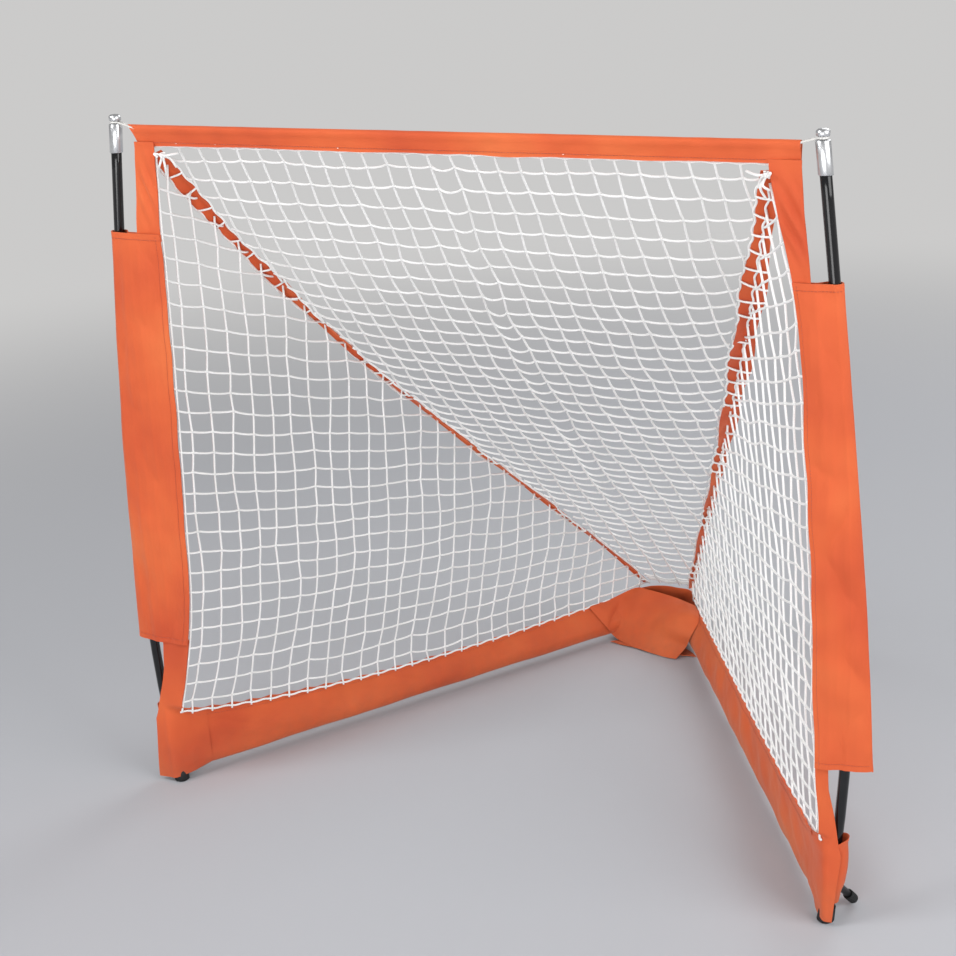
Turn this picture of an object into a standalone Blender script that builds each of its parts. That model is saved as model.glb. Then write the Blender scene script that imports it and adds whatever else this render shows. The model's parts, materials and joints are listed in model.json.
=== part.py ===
"""Portable bow-pole goal with a folding V base and a pyramid net, in metres, +Z up.

The origin is the centre of the rear hub's rubber foot, on the floor. +X is to the right as seen by
a player facing the goal mouth, +Y points behind the goal, and the goal line is at y = -GOAL_DEPTH.
Two arms pivot on the hub and carry a pole socket at each front corner. Two bowed poles stand in
the sockets and hold up the fabric top bar, the net and the fabric that covers the poles.
"""

import math

import bmesh
import bpy
from mathutils import Vector

# Overall layout
GOAL_DEPTH = 0.95
PIVOT_X = 0.045
GAP = 0.0003
SIDES = (("left", -1), ("right", 1))

# Poles: straight in the socket, then bowed like a rod pulled in at its tip
POLE_FOOT_X = 0.622
POLE_SLOPE = 0.10
SOCKET_TOP_Z = 0.11
BOW_SPAN = 1.115
BOW_STIFFNESS = 0.349
POLE_R = 0.0085
POLE_BORE_R = 0.0055
POLE_BOTTOM_Z = 0.0503
POLE_MIDDLE_Z = 0.62
POLE_TOP_Z = 1.2095
SHOCK_CORD_R = 0.0015
SHOCK_CORD_INSET = 0.01
FERRULE_R = 0.0098
FERRULE_HALF_LENGTH = 0.05
TIP_R = 0.0107
TIP_BOTTOM_Z = 1.168
TIP_TOP_Z = 1.214
TIP_CHAMFER = 0.0009
NECK_R = 0.005
KNOB_STEM_R = 0.003
KNOB_EDGE = 0.001
KNOB_R = 0.00975
KNOB_BOTTOM_Z = 1.219
KNOB_TOP_Z = 1.229

# Base: hub, arms, sockets and feet
PLATE_THICKNESS = 0.004
BASE_PLATE_Z = 0.0223
PLATE_HALF = (0.075, 0.04)
PLATE_CORNER_R = 0.03
PAD_R = 0.035
PAD_HEIGHT = 0.022
PAD_CHAMFER = 0.002
PAD_SHOULDER = 0.004
BOLT_R = 0.004
BOLT_HOLE_R = 0.0043
BOLT_HEAD_R = 0.0075
BOLT_HEAD_HEIGHT = 0.0053
NUT_HEIGHT = 0.0065
BOLT_FOOT_Z = 0.0135
SCREW_R = 0.003
SCREW_FOOT_Z = 0.0115
SCREW_HEAD_R = 0.0055
SCREW_HEAD_HEIGHT = 0.003
CUT_PAST = 0.01
CUT_PAST_SCREW = 0.0005
ARM_R = 0.0127
ARM_BORE_R = 0.0112
ARM_Z = 0.0397
TOP_PLATE_Z = 0.0531
ARM_BACK = 0.018
ARM_MITRE_GAP = 0.0015
PLUG_DEPTH = 0.009
PLUG_CAP = 0.003
PLUG_CROWN = 0.0018
SOCKET_R = 0.011
SOCKET_BORE_R = 0.0088
SOCKET_FLOOR_Z = 0.05
SOCKET_BOTTOM_Z = 0.006
SPIGOT_R = 0.0109
SPIGOT_LENGTH = 0.055
SPIGOT_SET_IN = 0.002
RIVET_R = 0.0024
RIVET_HOLE_R = 0.0027
RIVET_INSET = 0.035
RIVET_DEPTH = 0.006
RIVET_HEAD_R = 0.0048
RIVET_HEAD_HEIGHT = 0.0018
FOOT_R = 0.014
FOOT_BORE_R = 0.0113
FOOT_HEIGHT = 0.0255
FOOT_CHAMFER = 0.0015
FOOT_TAPER = 0.0008
LEG_R = 0.006
LEG_START = (0.632, -GOAL_DEPTH, 0.075)
LEG_END = (0.65, -GOAL_DEPTH + 0.061, 0.0087)
LEG_TIP_R = 0.0085
LEG_TIP_LENGTH = 0.022
LEG_TIP_CAP = 0.003
LEG_TIP_CHAMFER = 0.001
LEG_TIP_RIBS = 4
LEG_TIP_GROOVE = 0.0007

# Fabric and net
FABRIC = 0.0012
NET_THICKNESS = 0.003
BAR_HALF_LENGTH = 0.557
BAR_BOTTOM_Z = 1.181
BAR_TOP_Z = 1.213
BAR_DEPTH = 0.012
BAR_WALL = 0.001
BAR_SQUARENESS = 0.7
TOP_CORD_R = 0.002
TOP_CORD_RISE = 0.009
FRONT_SHEET_Y = -GOAL_DEPTH - 0.0115
CORNER_SHEET_Y = -GOAL_DEPTH - 0.0165
SHEET_STEP_BOTTOM = 0.14
SHEET_STEP_TOP = 0.22
BACK_SHEET_Y = -GOAL_DEPTH + 0.0115
BAND_OUTER_EDGE = ((0.014, 0.646), (0.13, 0.654), (0.24, 0.620), (0.285, 0.6125), (1.177, 0.558))
FLAP_BOTTOM_Z = 0.285
FLAP_TOP_Z = 1.035
FLAP_BOTTOM_X = 0.68
FLAP_TOP_X = 0.618
FLAP_ROWS = 7
FLAP_CLEARANCE = 0.0035
TAPE_WIDTH = 0.02
TAPE_INSET = 0.002
TAPE_MARGIN = 0.001
TAPE_STACK = 0.0022
HOOK_THICKNESS = 0.0009
NET_TOP_CORNER = (0.5165, -GOAL_DEPTH, 1.17)
NET_BOTTOM_CORNER = (0.6025, -GOAL_DEPTH, 0.148)
NET_APEX = (0.052, 0.02, 0.10)
NET_MARGIN = 0.004
SIDE_NET_TOP_INSET = 0.05
SIDE_NET_APEX_INSET = 0.09
STRAP_WIDTH = 0.03
STRAP_TOP_INSET = 0.012
STRAP_APEX_INSET = 0.03
SLEEVE_START = 0.07
SLEEVE_END_INSET = 0.016
SLEEVE_FRONT_TOP_Z = 0.145
SLEEVE_BACK_TOP_Z = 0.097
SLEEVE_HALF_WIDTH = 0.0152
SLEEVE_DROP = 0.0245
SLEEVE_CAVITY_TOP_Z = 0.075
SLEEVE_CAVITY_LIP = 0.004
SLEEVE_WALL = 0.001
SLEEVE_STEPS = 8
SLEEVE_ROWS = 5
FLANGE_HALF_WIDTH = 0.0024
POCKET_R = 0.0137
POCKET_BORE_R = 0.0125
POCKET_Z = (0.088, 0.148)
# Rear cover over the hub: depth, height and half width of each station, rear to front
REAR_COVER_STATIONS = (
    (0.020, 0.100, 0.055),
    (-0.020, 0.094, 0.056),
    (-0.050, 0.080, 0.058),
    (-0.075, 0.058, 0.066),
    (-0.095, 0.032, 0.076),
    (-0.112, 0.004, 0.088),
)
REAR_COVER_CROWN = 0.18
REAR_FLOOR_STATIONS = ((-0.045, 0.035), (-0.116, 0.086))
FLOOR_LIFT = 0.001
LOOP_CORD_R = 0.0018
LOOP_RING_R = 0.0075

# Mesh fineness
POLE_SEGMENTS = 20
POLE_RINGS = 9
FERRULE_RINGS = 5
SHOCK_CORD_RINGS = 14
LOOP_TURNS = 20
PAD_SEGMENTS = 32
TUBE_SEGMENTS = 24
SMALL_SEGMENTS = 16
CORD_SEGMENTS = 8

# Finishes: base colour, roughness, metallic
FINISHES = {
    "orange_fabric": ((0.80, 0.16, 0.045, 1.0), 0.75, 0.0),
    "white_net": ((0.85, 0.85, 0.84, 1.0), 0.7, 0.0),
    "white_cord": ((0.80, 0.79, 0.77, 1.0), 0.65, 0.0),
    "black_fibreglass": ((0.012, 0.012, 0.014, 1.0), 0.22, 0.0),
    "black_paint": ((0.02, 0.02, 0.022, 1.0), 0.38, 0.5),
    "black_rubber": ((0.03, 0.03, 0.032, 1.0), 0.8, 0.0),
    "bright_metal": ((0.62, 0.63, 0.65, 1.0), 0.3, 1.0),
    "zinc_steel": ((0.5, 0.5, 0.48, 1.0), 0.42, 1.0),
    "black_tape": ((0.025, 0.025, 0.027, 1.0), 0.9, 0.0),
}


def pole_x(z):
    """Distance of the pole's centre line from the middle of the goal at height z."""
    if z <= SOCKET_TOP_Z:
        return POLE_FOOT_X + POLE_SLOPE * z
    h = z - SOCKET_TOP_Z
    bow = BOW_STIFFNESS * (BOW_SPAN * h * h / 2 - h**3 / 6)
    return POLE_FOOT_X + POLE_SLOPE * z - bow


ARM_REACH = pole_x(ARM_Z) - PIVOT_X
ARM_ANGLE = math.atan2(ARM_REACH, GOAL_DEPTH)
ARM_LENGTH = math.hypot(ARM_REACH, GOAL_DEPTH)


def on_arm(side, along, across, z):
    """Point at a distance along an arm from its pivot, and across it towards the outside."""
    x = PIVOT_X + along * math.sin(ARM_ANGLE) + across * math.cos(ARM_ANGLE)
    y = across * math.sin(ARM_ANGLE) - along * math.cos(ARM_ANGLE)
    return Vector((side * x, y, z))


def band_inner_x(z):
    """Inner edge of the fabric band beside a pole, which leans outward towards the floor."""
    t = (NET_TOP_CORNER[2] - z) / (NET_TOP_CORNER[2] - NET_BOTTOM_CORNER[2])
    return NET_TOP_CORNER[0] + t * (NET_BOTTOM_CORNER[0] - NET_TOP_CORNER[0])


def band_outer_x(z):
    """Outer edge of the band: straight beside the pole, flaring out over the corner."""
    for (low, low_x), (high, high_x) in zip(BAND_OUTER_EDGE, BAND_OUTER_EDGE[1:]):
        if z <= high:
            return low_x + (high_x - low_x) * (z - low) / (high - low)
    return BAND_OUTER_EDGE[-1][1]


def flap_outer_x(z):
    """Outer folded edge of the fabric flap that wraps a pole, a straight slanting line."""
    t = (z - FLAP_BOTTOM_Z) / (FLAP_TOP_Z - FLAP_BOTTOM_Z)
    return FLAP_BOTTOM_X + t * (FLAP_TOP_X - FLAP_BOTTOM_X)


def flap_heights():
    """Heights of the flap's cross-sections, evenly from its bottom to its top."""
    step = (FLAP_TOP_Z - FLAP_BOTTOM_Z) / (FLAP_ROWS - 1)
    return [FLAP_BOTTOM_Z + i * step for i in range(FLAP_ROWS)]


# Building blocks


def remove_scene_objects():
    for obj in list(bpy.data.objects):
        bpy.data.objects.remove(obj, do_unlink=True)


def make_materials():
    made = {}
    for name, (colour, roughness, metallic) in FINISHES.items():
        material = bpy.data.materials.new(name)
        material.use_nodes = True
        shader = material.node_tree.nodes["Principled BSDF"]
        shader.inputs["Base Color"].default_value = colour
        shader.inputs["Roughness"].default_value = roughness
        shader.inputs["Metallic"].default_value = metallic
        made[name] = material
    return made


def circle(centre, radius, segments, u=(1, 0, 0), v=(0, 1, 0)):
    """Ring of points round a centre, in the plane of the directions u and v."""
    u, v, centre = Vector(u), Vector(v), Vector(centre)
    turns = [2 * math.pi * i / segments for i in range(segments)]
    return [centre + radius * (math.cos(a) * u + math.sin(a) * v) for a in turns]


def skin(bm, rings):
    """Quads between neighbouring rings, which all have the same number of points."""
    loops = [[bm.verts.new(p) for p in ring] for ring in rings]
    for low, high in zip(loops, loops[1:]):
        for i in range(len(low)):
            j = (i + 1) % len(low)
            bm.faces.new((low[i], low[j], high[j], high[i]))
    return loops


def solid_loft(rings):
    """Closed body through a row of rings, capped at both ends."""
    bm = bmesh.new()
    loops = skin(bm, rings)
    bm.faces.new(loops[0])
    bm.faces.new(loops[-1])
    return bm


def hollow_loft(outer_rings, inner_rings):
    """Tube-like body between an outer and an inner row of rings, open through its middle."""
    bm = bmesh.new()
    outer = skin(bm, outer_rings)
    inner = skin(bm, inner_rings)
    for a, b in ((outer[0], inner[0]), (outer[-1], inner[-1])):
        for i in range(len(a)):
            j = (i + 1) % len(a)
            bm.faces.new((a[i], a[j], b[j], b[i]))
    return bm


def cup_loft(outer_rings, inner_rings):
    """Body with a blind hole: both rows of rings are capped at their first ring."""
    bm = bmesh.new()
    outer = skin(bm, outer_rings)
    inner = skin(bm, inner_rings)
    bm.faces.new(outer[0])
    bm.faces.new(inner[0])
    rim, mouth = outer[-1], inner[-1]
    for i in range(len(rim)):
        j = (i + 1) % len(rim)
        bm.faces.new((rim[i], rim[j], mouth[j], mouth[i]))
    return bm


def rod(start, end, radius, segments=TUBE_SEGMENTS):
    """Plain round bar between two points."""
    start, end = Vector(start), Vector(end)
    direction = (end - start).normalized()
    across = direction.orthogonal().normalized()
    other = direction.cross(across)
    rings = [circle(p, radius, segments, across, other) for p in (start, end)]
    return solid_loft(rings)


def turned(centre, profile, segments):
    """Closed round body about a vertical axis, from (radius, z) pairs in order."""
    x, y = centre
    return solid_loft([circle((x, y, z), r, segments) for r, z in profile])


def ribbon(rows, thickness):
    """Sheet through rows of points, thickened along one direction.

    Both faces are split along the same diagonals, so a warped sheet keeps its thickness.
    """
    bm = bmesh.new()
    sheets = []
    for offset in (Vector((0, 0, 0)), Vector(thickness)):
        sheet = [[bm.verts.new(Vector(p) + offset) for p in row] for row in rows]
        for low, high in zip(sheet, sheet[1:]):
            for i in range(len(low) - 1):
                bm.faces.new((low[i], low[i + 1], high[i + 1]))
                bm.faces.new((low[i], high[i + 1], high[i]))
        right = [row[-1] for row in sheet[1:-1]]
        left = [row[0] for row in sheet[-2:0:-1]]
        sheets.append(sheet[0] + right + sheet[-1][::-1] + left)
    near, far = sheets
    for i in range(len(near)):
        j = (i + 1) % len(near)
        bm.faces.new((near[i], near[j], far[j], far[i]))
    return bm


def rounded_outline(half_x, half_y, corner_r, z, per_corner=6):
    """Rectangle with round corners, centred on the origin, at height z."""
    points = []
    for k, (sx, sy) in enumerate(((1, 1), (-1, 1), (-1, -1), (1, -1))):
        for i in range(per_corner + 1):
            a = math.pi / 2 * (k + i / per_corner)
            x = sx * (half_x - corner_r) + corner_r * math.cos(a)
            y = sy * (half_y - corner_r) + corner_r * math.sin(a)
            points.append((x, y, z))
    return points


class Goal:
    """Holds the body empties and materials, and turns meshes into named parts."""

    def __init__(self):
        self.materials = make_materials()
        self.empties = {}

    def add_body(self, name, pivot):
        empty = bpy.data.objects.new(name + "_axis", None)
        empty.location = pivot
        bpy.context.collection.objects.link(empty)
        self.empties[name] = empty

    def add(self, name, bm, body, finish, smooth=True):
        """Closed mesh in world coordinates becomes the part `name` on a body."""
        pivot = self.empties[body].location
        bmesh.ops.recalc_face_normals(bm, faces=bm.faces)
        bmesh.ops.translate(bm, vec=-pivot, verts=bm.verts)
        mesh = bpy.data.meshes.new(name)
        bm.to_mesh(mesh)
        bm.free()
        if smooth:
            mesh.shade_smooth()
            mesh.set_sharp_from_angle(angle=math.radians(35))
        mesh.materials.append(self.materials[finish])
        obj = bpy.data.objects.new(name, mesh)
        obj.parent = self.empties[body]
        bpy.context.collection.objects.link(obj)
        return obj


def boolean(target, bm, operation):
    """Cuts a closed mesh out of a part, or joins it to the part."""
    bmesh.ops.recalc_face_normals(bm, faces=bm.faces)
    count = len(target.modifiers)
    mesh = bpy.data.meshes.new(f"{target.name}_tool_{count}")
    bm.to_mesh(mesh)
    bm.free()
    tool = bpy.data.objects.new(mesh.name, mesh)
    tool.hide_render = True
    tool.display_type = "WIRE"
    bpy.context.collection.objects.link(tool)
    modifier = target.modifiers.new(f"{operation.lower()}_{count}", "BOOLEAN")
    modifier.operation = operation
    modifier.solver = "EXACT"
    modifier.object = tool


# Hub


def hub_plate(goal, name, z):
    outline = [rounded_outline(*PLATE_HALF, PLATE_CORNER_R, h) for h in (z, z + PLATE_THICKNESS)]
    plate = goal.add(name, solid_loft(outline), "hub", "black_paint")
    holes = [(side * PIVOT_X, BOLT_HOLE_R) for _, side in SIDES]
    holes.append((0.0, SCREW_R + GAP))
    for x, radius in holes:
        low, high = (x, 0, z - CUT_PAST), (x, 0, z + PLATE_THICKNESS + CUT_PAST)
        boolean(plate, rod(low, high, radius, SMALL_SEGMENTS), "DIFFERENCE")


def hub_foot_pad(goal):
    """Round rubber foot under the hub, chamfered at the floor and shouldered at the top."""
    profile = [
        (PAD_R - PAD_CHAMFER, 0.0),
        (PAD_R, PAD_CHAMFER),
        (PAD_R, PAD_HEIGHT - PAD_SHOULDER),
        (PAD_R - PAD_SHOULDER, PAD_HEIGHT),
    ]
    pad = goal.add("hub_foot_pad", turned((0, 0), profile, PAD_SEGMENTS), "hub", "black_rubber")
    low, high = (0, 0, SCREW_FOOT_Z - CUT_PAST_SCREW), (0, 0, PAD_HEIGHT + CUT_PAST)
    boolean(pad, rod(low, high, SCREW_R + GAP, SMALL_SEGMENTS), "DIFFERENCE")


def pad_screw(goal):
    head_z = BASE_PLATE_Z + PLATE_THICKNESS + GAP
    profile = [
        (SCREW_R, SCREW_FOOT_Z),
        (SCREW_R, head_z),
        (SCREW_HEAD_R, head_z),
        (SCREW_HEAD_R, head_z + SCREW_HEAD_HEIGHT / 2),
        (SCREW_R, head_z + SCREW_HEAD_HEIGHT),
    ]
    goal.add("hub_pad_screw", turned((0, 0), profile, SMALL_SEGMENTS), "hub", "zinc_steel")


def pivot_bolt(goal, label, side):
    """Hexagon-head bolt down through both plates and the arm, with its nut underneath."""
    centre = (side * PIVOT_X, 0)
    head_z = TOP_PLATE_Z + PLATE_THICKNESS + GAP
    nut_top = BASE_PLATE_Z - GAP
    shank_top = head_z + BOLT_HEAD_HEIGHT / 2
    shank = turned(centre, [(BOLT_R, BOLT_FOOT_Z), (BOLT_R, shank_top)], SMALL_SEGMENTS)
    bolt = goal.add(f"pivot_bolt_{label}", shank, "hub", "zinc_steel")
    head = turned(centre, [(BOLT_HEAD_R, head_z), (BOLT_HEAD_R, head_z + BOLT_HEAD_HEIGHT)], 6)
    boolean(bolt, head, "UNION")
    heights = (nut_top - NUT_HEIGHT, nut_top)
    outer = [circle((*centre, z), BOLT_HEAD_R, TUBE_SEGMENTS) for z in heights]
    hexagon = [[hexagon_point(p, centre) for p in ring] for ring in outer]
    inner = [circle((*centre, z), BOLT_HOLE_R, TUBE_SEGMENTS) for z in heights]
    goal.add(f"pivot_nut_{label}", hollow_loft(hexagon, inner), "hub", "zinc_steel")


def hexagon_point(point, centre):
    """Pulls a point of a circle in to the flat sides of the hexagon inside it."""
    offset = Vector((point.x - centre[0], point.y - centre[1], 0))
    angle = math.atan2(offset.y, offset.x) % (math.pi / 3) - math.pi / 6
    scale = math.cos(math.pi / 6) / math.cos(angle)
    return Vector((centre[0] + offset.x * scale, centre[1] + offset.y * scale, point.z))


# Base arms


def base_arm(goal, label, side):
    body = f"arm_{label}"
    ends = (-ARM_BACK, ARM_LENGTH - SOCKET_R - ARM_MITRE_GAP)
    across = on_arm(side, 0, 1, 0) - on_arm(side, 0, 0, 0)
    rings = {}
    for radius in (ARM_R, ARM_BORE_R):
        centres = [on_arm(side, u, 0, ARM_Z) for u in ends]
        rings[radius] = [circle(c, radius, TUBE_SEGMENTS, across, (0, 0, 1)) for c in centres]
    tube = hollow_loft(rings[ARM_R], rings[ARM_BORE_R])
    arm = goal.add(f"base_arm_{label}", tube, body, "black_paint")
    for along, radius in ((0, BOLT_HOLE_R), (ARM_LENGTH - RIVET_INSET, RIVET_HOLE_R)):
        low = on_arm(side, along, 0, ARM_Z - ARM_R - CUT_PAST)
        high = on_arm(side, along, 0, ARM_Z + ARM_R + CUT_PAST)
        boolean(arm, rod(low, high, radius, SMALL_SEGMENTS), "DIFFERENCE")


def arm_end_plug(goal, label, side):
    across = on_arm(side, 0, 1, 0) - on_arm(side, 0, 0, 0)
    stops = [
        (-ARM_BACK + PLUG_DEPTH, ARM_BORE_R - GAP),
        (-ARM_BACK - GAP, ARM_BORE_R - GAP),
        (-ARM_BACK - GAP, ARM_R),
        (-ARM_BACK - PLUG_CAP, ARM_R),
        (-ARM_BACK - PLUG_CAP - PLUG_CROWN, ARM_R - PLUG_CROWN),
    ]
    rings = [
        circle(on_arm(side, u, 0, ARM_Z), r, TUBE_SEGMENTS, across, (0, 0, 1)) for u, r in stops
    ]
    goal.add(f"arm_end_plug_{label}", solid_loft(rings), f"arm_{label}", "black_rubber")


def post_ring(side, z, radius, segments=TUBE_SEGMENTS):
    """Level ring round the pole's centre line at height z."""
    return circle((side * pole_x(z), -GOAL_DEPTH, z), radius, segments)


def pole_socket(goal, label, side):
    """Welded corner: upright socket, spigot that enters the arm, and a short prop leg."""
    post = solid_loft([post_ring(side, z, SOCKET_R) for z in (SOCKET_BOTTOM_Z, SOCKET_TOP_Z)])
    socket = goal.add(f"pole_socket_{label}", post, f"arm_{label}", "black_paint")
    inner_end = on_arm(side, ARM_LENGTH - SPIGOT_LENGTH, 0, ARM_Z)
    outer_end = on_arm(side, ARM_LENGTH - SPIGOT_SET_IN, 0, ARM_Z)
    boolean(socket, rod(inner_end, outer_end, SPIGOT_R), "UNION")
    start, end = (Vector((side * p[0], p[1], p[2])) for p in (LEG_START, LEG_END))
    boolean(socket, rod(start, end, LEG_R, SMALL_SEGMENTS), "UNION")
    heights = (SOCKET_FLOOR_Z, SOCKET_TOP_Z + CUT_PAST)
    rings = [sloping_ring(side, z, SOCKET_BORE_R) for z in heights]
    boolean(socket, solid_loft(rings), "DIFFERENCE")
    low = on_arm(side, ARM_LENGTH - RIVET_INSET, 0, ARM_Z - SPIGOT_R - CUT_PAST)
    high = on_arm(side, ARM_LENGTH - RIVET_INSET, 0, ARM_Z + SPIGOT_R + CUT_PAST)
    boolean(socket, rod(low, high, RIVET_HOLE_R, SMALL_SEGMENTS), "DIFFERENCE")


def sloping_ring(side, z, radius):
    """Level ring on the socket's straight axis, which leans outward."""
    x = side * (POLE_FOOT_X + POLE_SLOPE * z)
    return circle((x, -GOAL_DEPTH, z), radius, TUBE_SEGMENTS)


def socket_rivet(goal, label, side):
    centre = on_arm(side, ARM_LENGTH - RIVET_INSET, 0, 0).xy
    head_z = ARM_Z + ARM_R + GAP
    profile = [
        (RIVET_R, ARM_Z - RIVET_DEPTH),
        (RIVET_R, head_z),
        (RIVET_HEAD_R, head_z),
        (0.85 * RIVET_HEAD_R, head_z + 0.6 * RIVET_HEAD_HEIGHT),
        (0.4 * RIVET_HEAD_R, head_z + RIVET_HEAD_HEIGHT),
    ]
    rivet = turned(centre, profile, SMALL_SEGMENTS)
    goal.add(f"socket_rivet_{label}", rivet, f"arm_{label}", "zinc_steel")


def foot_cap(goal, label, side):
    """Rubber cup on the socket's lower end, chamfered at the floor and slightly tapered."""
    outer = [
        (0.0, FOOT_R - FOOT_CHAMFER),
        (FOOT_CHAMFER, FOOT_R),
        (FOOT_HEIGHT, FOOT_R - FOOT_TAPER),
    ]
    inner = [(SOCKET_BOTTOM_Z - GAP, FOOT_BORE_R), (FOOT_HEIGHT, FOOT_BORE_R)]
    rows = [[post_ring(side, z, r) for z, r in stops] for stops in (outer, inner)]
    goal.add(f"foot_cap_{label}", cup_loft(*rows), f"arm_{label}", "black_rubber")


def leg_tip(goal, label, side):
    """Ribbed rubber cap on the end of the prop leg."""
    start, end = (Vector((side * p[0], p[1], p[2])) for p in (LEG_START, LEG_END))
    direction = (end - start).normalized()
    across = direction.orthogonal().normalized()
    other = direction.cross(across)
    groove_r = LEG_TIP_R - LEG_TIP_GROOVE
    stops = [(LEG_TIP_CAP, LEG_TIP_R - LEG_TIP_CHAMFER)]
    stops.append((LEG_TIP_CAP - LEG_TIP_CHAMFER, LEG_TIP_R))
    pitch = LEG_TIP_LENGTH / LEG_TIP_RIBS
    for i in range(LEG_TIP_RIBS):
        rib = -i * pitch
        stops += [(rib - 0.55 * pitch, LEG_TIP_R), (rib - 0.65 * pitch, groove_r)]
        stops += [(rib - 0.9 * pitch, groove_r), (rib - pitch, LEG_TIP_R)]
    bore = LEG_R + GAP
    outer = [circle(end + d * direction, r, SMALL_SEGMENTS, across, other) for d, r in stops]
    depths = (GAP, -LEG_TIP_LENGTH)
    inner = [circle(end + d * direction, bore, SMALL_SEGMENTS, across, other) for d in depths]
    goal.add(f"leg_tip_{label}", cup_loft(outer, inner), f"arm_{label}", "black_rubber")


# Poles


def pole_rings(side, low, high, radius, count=POLE_RINGS, segments=POLE_SEGMENTS):
    heights = [low + (high - low) * i / (count - 1) for i in range(count)]
    return [post_ring(side, z, radius, segments) for z in heights]


def pole_sections(goal, label, side):
    spans = {
        "pole_lower": (POLE_BOTTOM_Z, POLE_MIDDLE_Z),
        "pole_upper": (POLE_MIDDLE_Z + GAP, POLE_TOP_Z),
    }
    for name, (low, high) in spans.items():
        tube = hollow_loft(
            pole_rings(side, low, high, POLE_R), pole_rings(side, low, high, POLE_BORE_R)
        )
        goal.add(f"{name}_{label}", tube, f"pole_{label}", "black_fibreglass")
    low, high = POLE_MIDDLE_Z - FERRULE_HALF_LENGTH, POLE_MIDDLE_Z + FERRULE_HALF_LENGTH
    sleeve = hollow_loft(
        pole_rings(side, low, high, FERRULE_R, FERRULE_RINGS),
        pole_rings(side, low, high, POLE_R + GAP, FERRULE_RINGS),
    )
    goal.add(f"pole_ferrule_{label}", sleeve, f"pole_{label}", "bright_metal")
    cord = solid_loft(
        pole_rings(
            side,
            POLE_BOTTOM_Z + SHOCK_CORD_INSET,
            POLE_TOP_Z - SHOCK_CORD_INSET,
            SHOCK_CORD_R,
            SHOCK_CORD_RINGS,
            CORD_SEGMENTS,
        )
    )
    goal.add(f"shock_cord_{label}", cord, f"pole_{label}", "white_cord")


def pole_tip(goal, label, side):
    """Metal cap on the pole's top, and the screwed-in knob that the corner loop hooks under."""
    stops = (TIP_TOP_Z, TIP_TOP_Z - TIP_CHAMFER, TIP_BOTTOM_Z + TIP_CHAMFER, TIP_BOTTOM_Z)
    radii = (TIP_R - TIP_CHAMFER, TIP_R, TIP_R, TIP_R - TIP_CHAMFER / 2)
    outer = [post_ring(side, z, r, POLE_SEGMENTS) for z, r in zip(stops, radii)]
    bore_top = POLE_TOP_Z + GAP
    inner = [
        post_ring(side, z, POLE_R + GAP, POLE_SEGMENTS)
        for z in (bore_top, (bore_top + TIP_BOTTOM_Z) / 2, TIP_BOTTOM_Z)
    ]
    cap = goal.add(f"tip_cap_{label}", cup_loft(outer, inner), f"pole_{label}", "bright_metal")
    x = side * pole_x(TIP_TOP_Z)
    centre = (x, -GOAL_DEPTH)
    low, high = (*centre, TIP_TOP_Z - CUT_PAST), (*centre, TIP_TOP_Z + CUT_PAST)
    boolean(cap, rod(low, high, KNOB_STEM_R + GAP, SMALL_SEGMENTS), "DIFFERENCE")
    dome = KNOB_R / 3
    profile = [
        (KNOB_STEM_R, POLE_TOP_Z + 2 * GAP),
        (KNOB_STEM_R, TIP_TOP_Z + GAP),
        (NECK_R, TIP_TOP_Z + GAP),
        (NECK_R, KNOB_BOTTOM_Z),
        (KNOB_R - KNOB_EDGE, KNOB_BOTTOM_Z),
        (KNOB_R, KNOB_BOTTOM_Z + KNOB_EDGE),
        (KNOB_R, KNOB_TOP_Z - dome),
        (KNOB_R - dome, KNOB_TOP_Z - KNOB_EDGE / 2),
        (KNOB_R - 2 * dome, KNOB_TOP_Z),
    ]
    knob = turned(centre, profile, POLE_SEGMENTS)
    goal.add(f"tip_knob_{label}", knob, f"pole_{label}", "bright_metal")


# Fabric


def top_bar(goal):
    """Fabric tube between the pole tips, with the cord that carries it inside."""
    half_y, mid_z = BAR_DEPTH / 2, (BAR_BOTTOM_Z + BAR_TOP_Z) / 2
    half_z = (BAR_TOP_Z - BAR_BOTTOM_Z) / 2

    def section(x, shrink):
        ring = []
        for unit in circle((0, 0, 0), 1, SMALL_SEGMENTS):
            y = (half_y - shrink) * math.copysign(abs(unit.x) ** BAR_SQUARENESS, unit.x)
            z = (half_z - shrink) * math.copysign(abs(unit.y) ** BAR_SQUARENESS, unit.y)
            ring.append((x, -GOAL_DEPTH + y, mid_z + z))
        return ring

    ends = (-BAR_HALF_LENGTH, 0.0, BAR_HALF_LENGTH)
    tube = hollow_loft([section(x, 0.0) for x in ends], [section(x, BAR_WALL) for x in ends])
    goal.add("top_bar_sleeve", tube, "hub", "orange_fabric")
    start = (-BAR_HALF_LENGTH, -GOAL_DEPTH, mid_z + TOP_CORD_RISE)
    end = (BAR_HALF_LENGTH, -GOAL_DEPTH, mid_z + TOP_CORD_RISE)
    goal.add("top_bar_cord", rod(start, end, TOP_CORD_R, CORD_SEGMENTS), "hub", "white_cord")


def corner_loop(goal, label, side):
    """White cord ring round the neck of a pole tip, where the bar's end hangs."""
    z = (TIP_TOP_Z + GAP + KNOB_BOTTOM_Z) / 2
    centre = Vector((side * pole_x(TIP_TOP_Z), -GOAL_DEPTH, z))
    bm = bmesh.new()
    loops = []
    for outward in circle((0, 0, 0), 1, LOOP_TURNS):
        middle = centre + LOOP_RING_R * outward
        points = circle(middle, LOOP_CORD_R, CORD_SEGMENTS, outward, (0, 0, 1))
        loops.append([bm.verts.new(p) for p in points])
    for low, high in zip(loops, loops[1:] + loops[:1]):
        for i in range(CORD_SEGMENTS):
            j = (i + 1) % CORD_SEGMENTS
            bm.faces.new((low[i], low[j], high[j], high[i]))
    goal.add(f"corner_loop_{label}", bm, f"arm_{label}", "white_cord")


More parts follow.
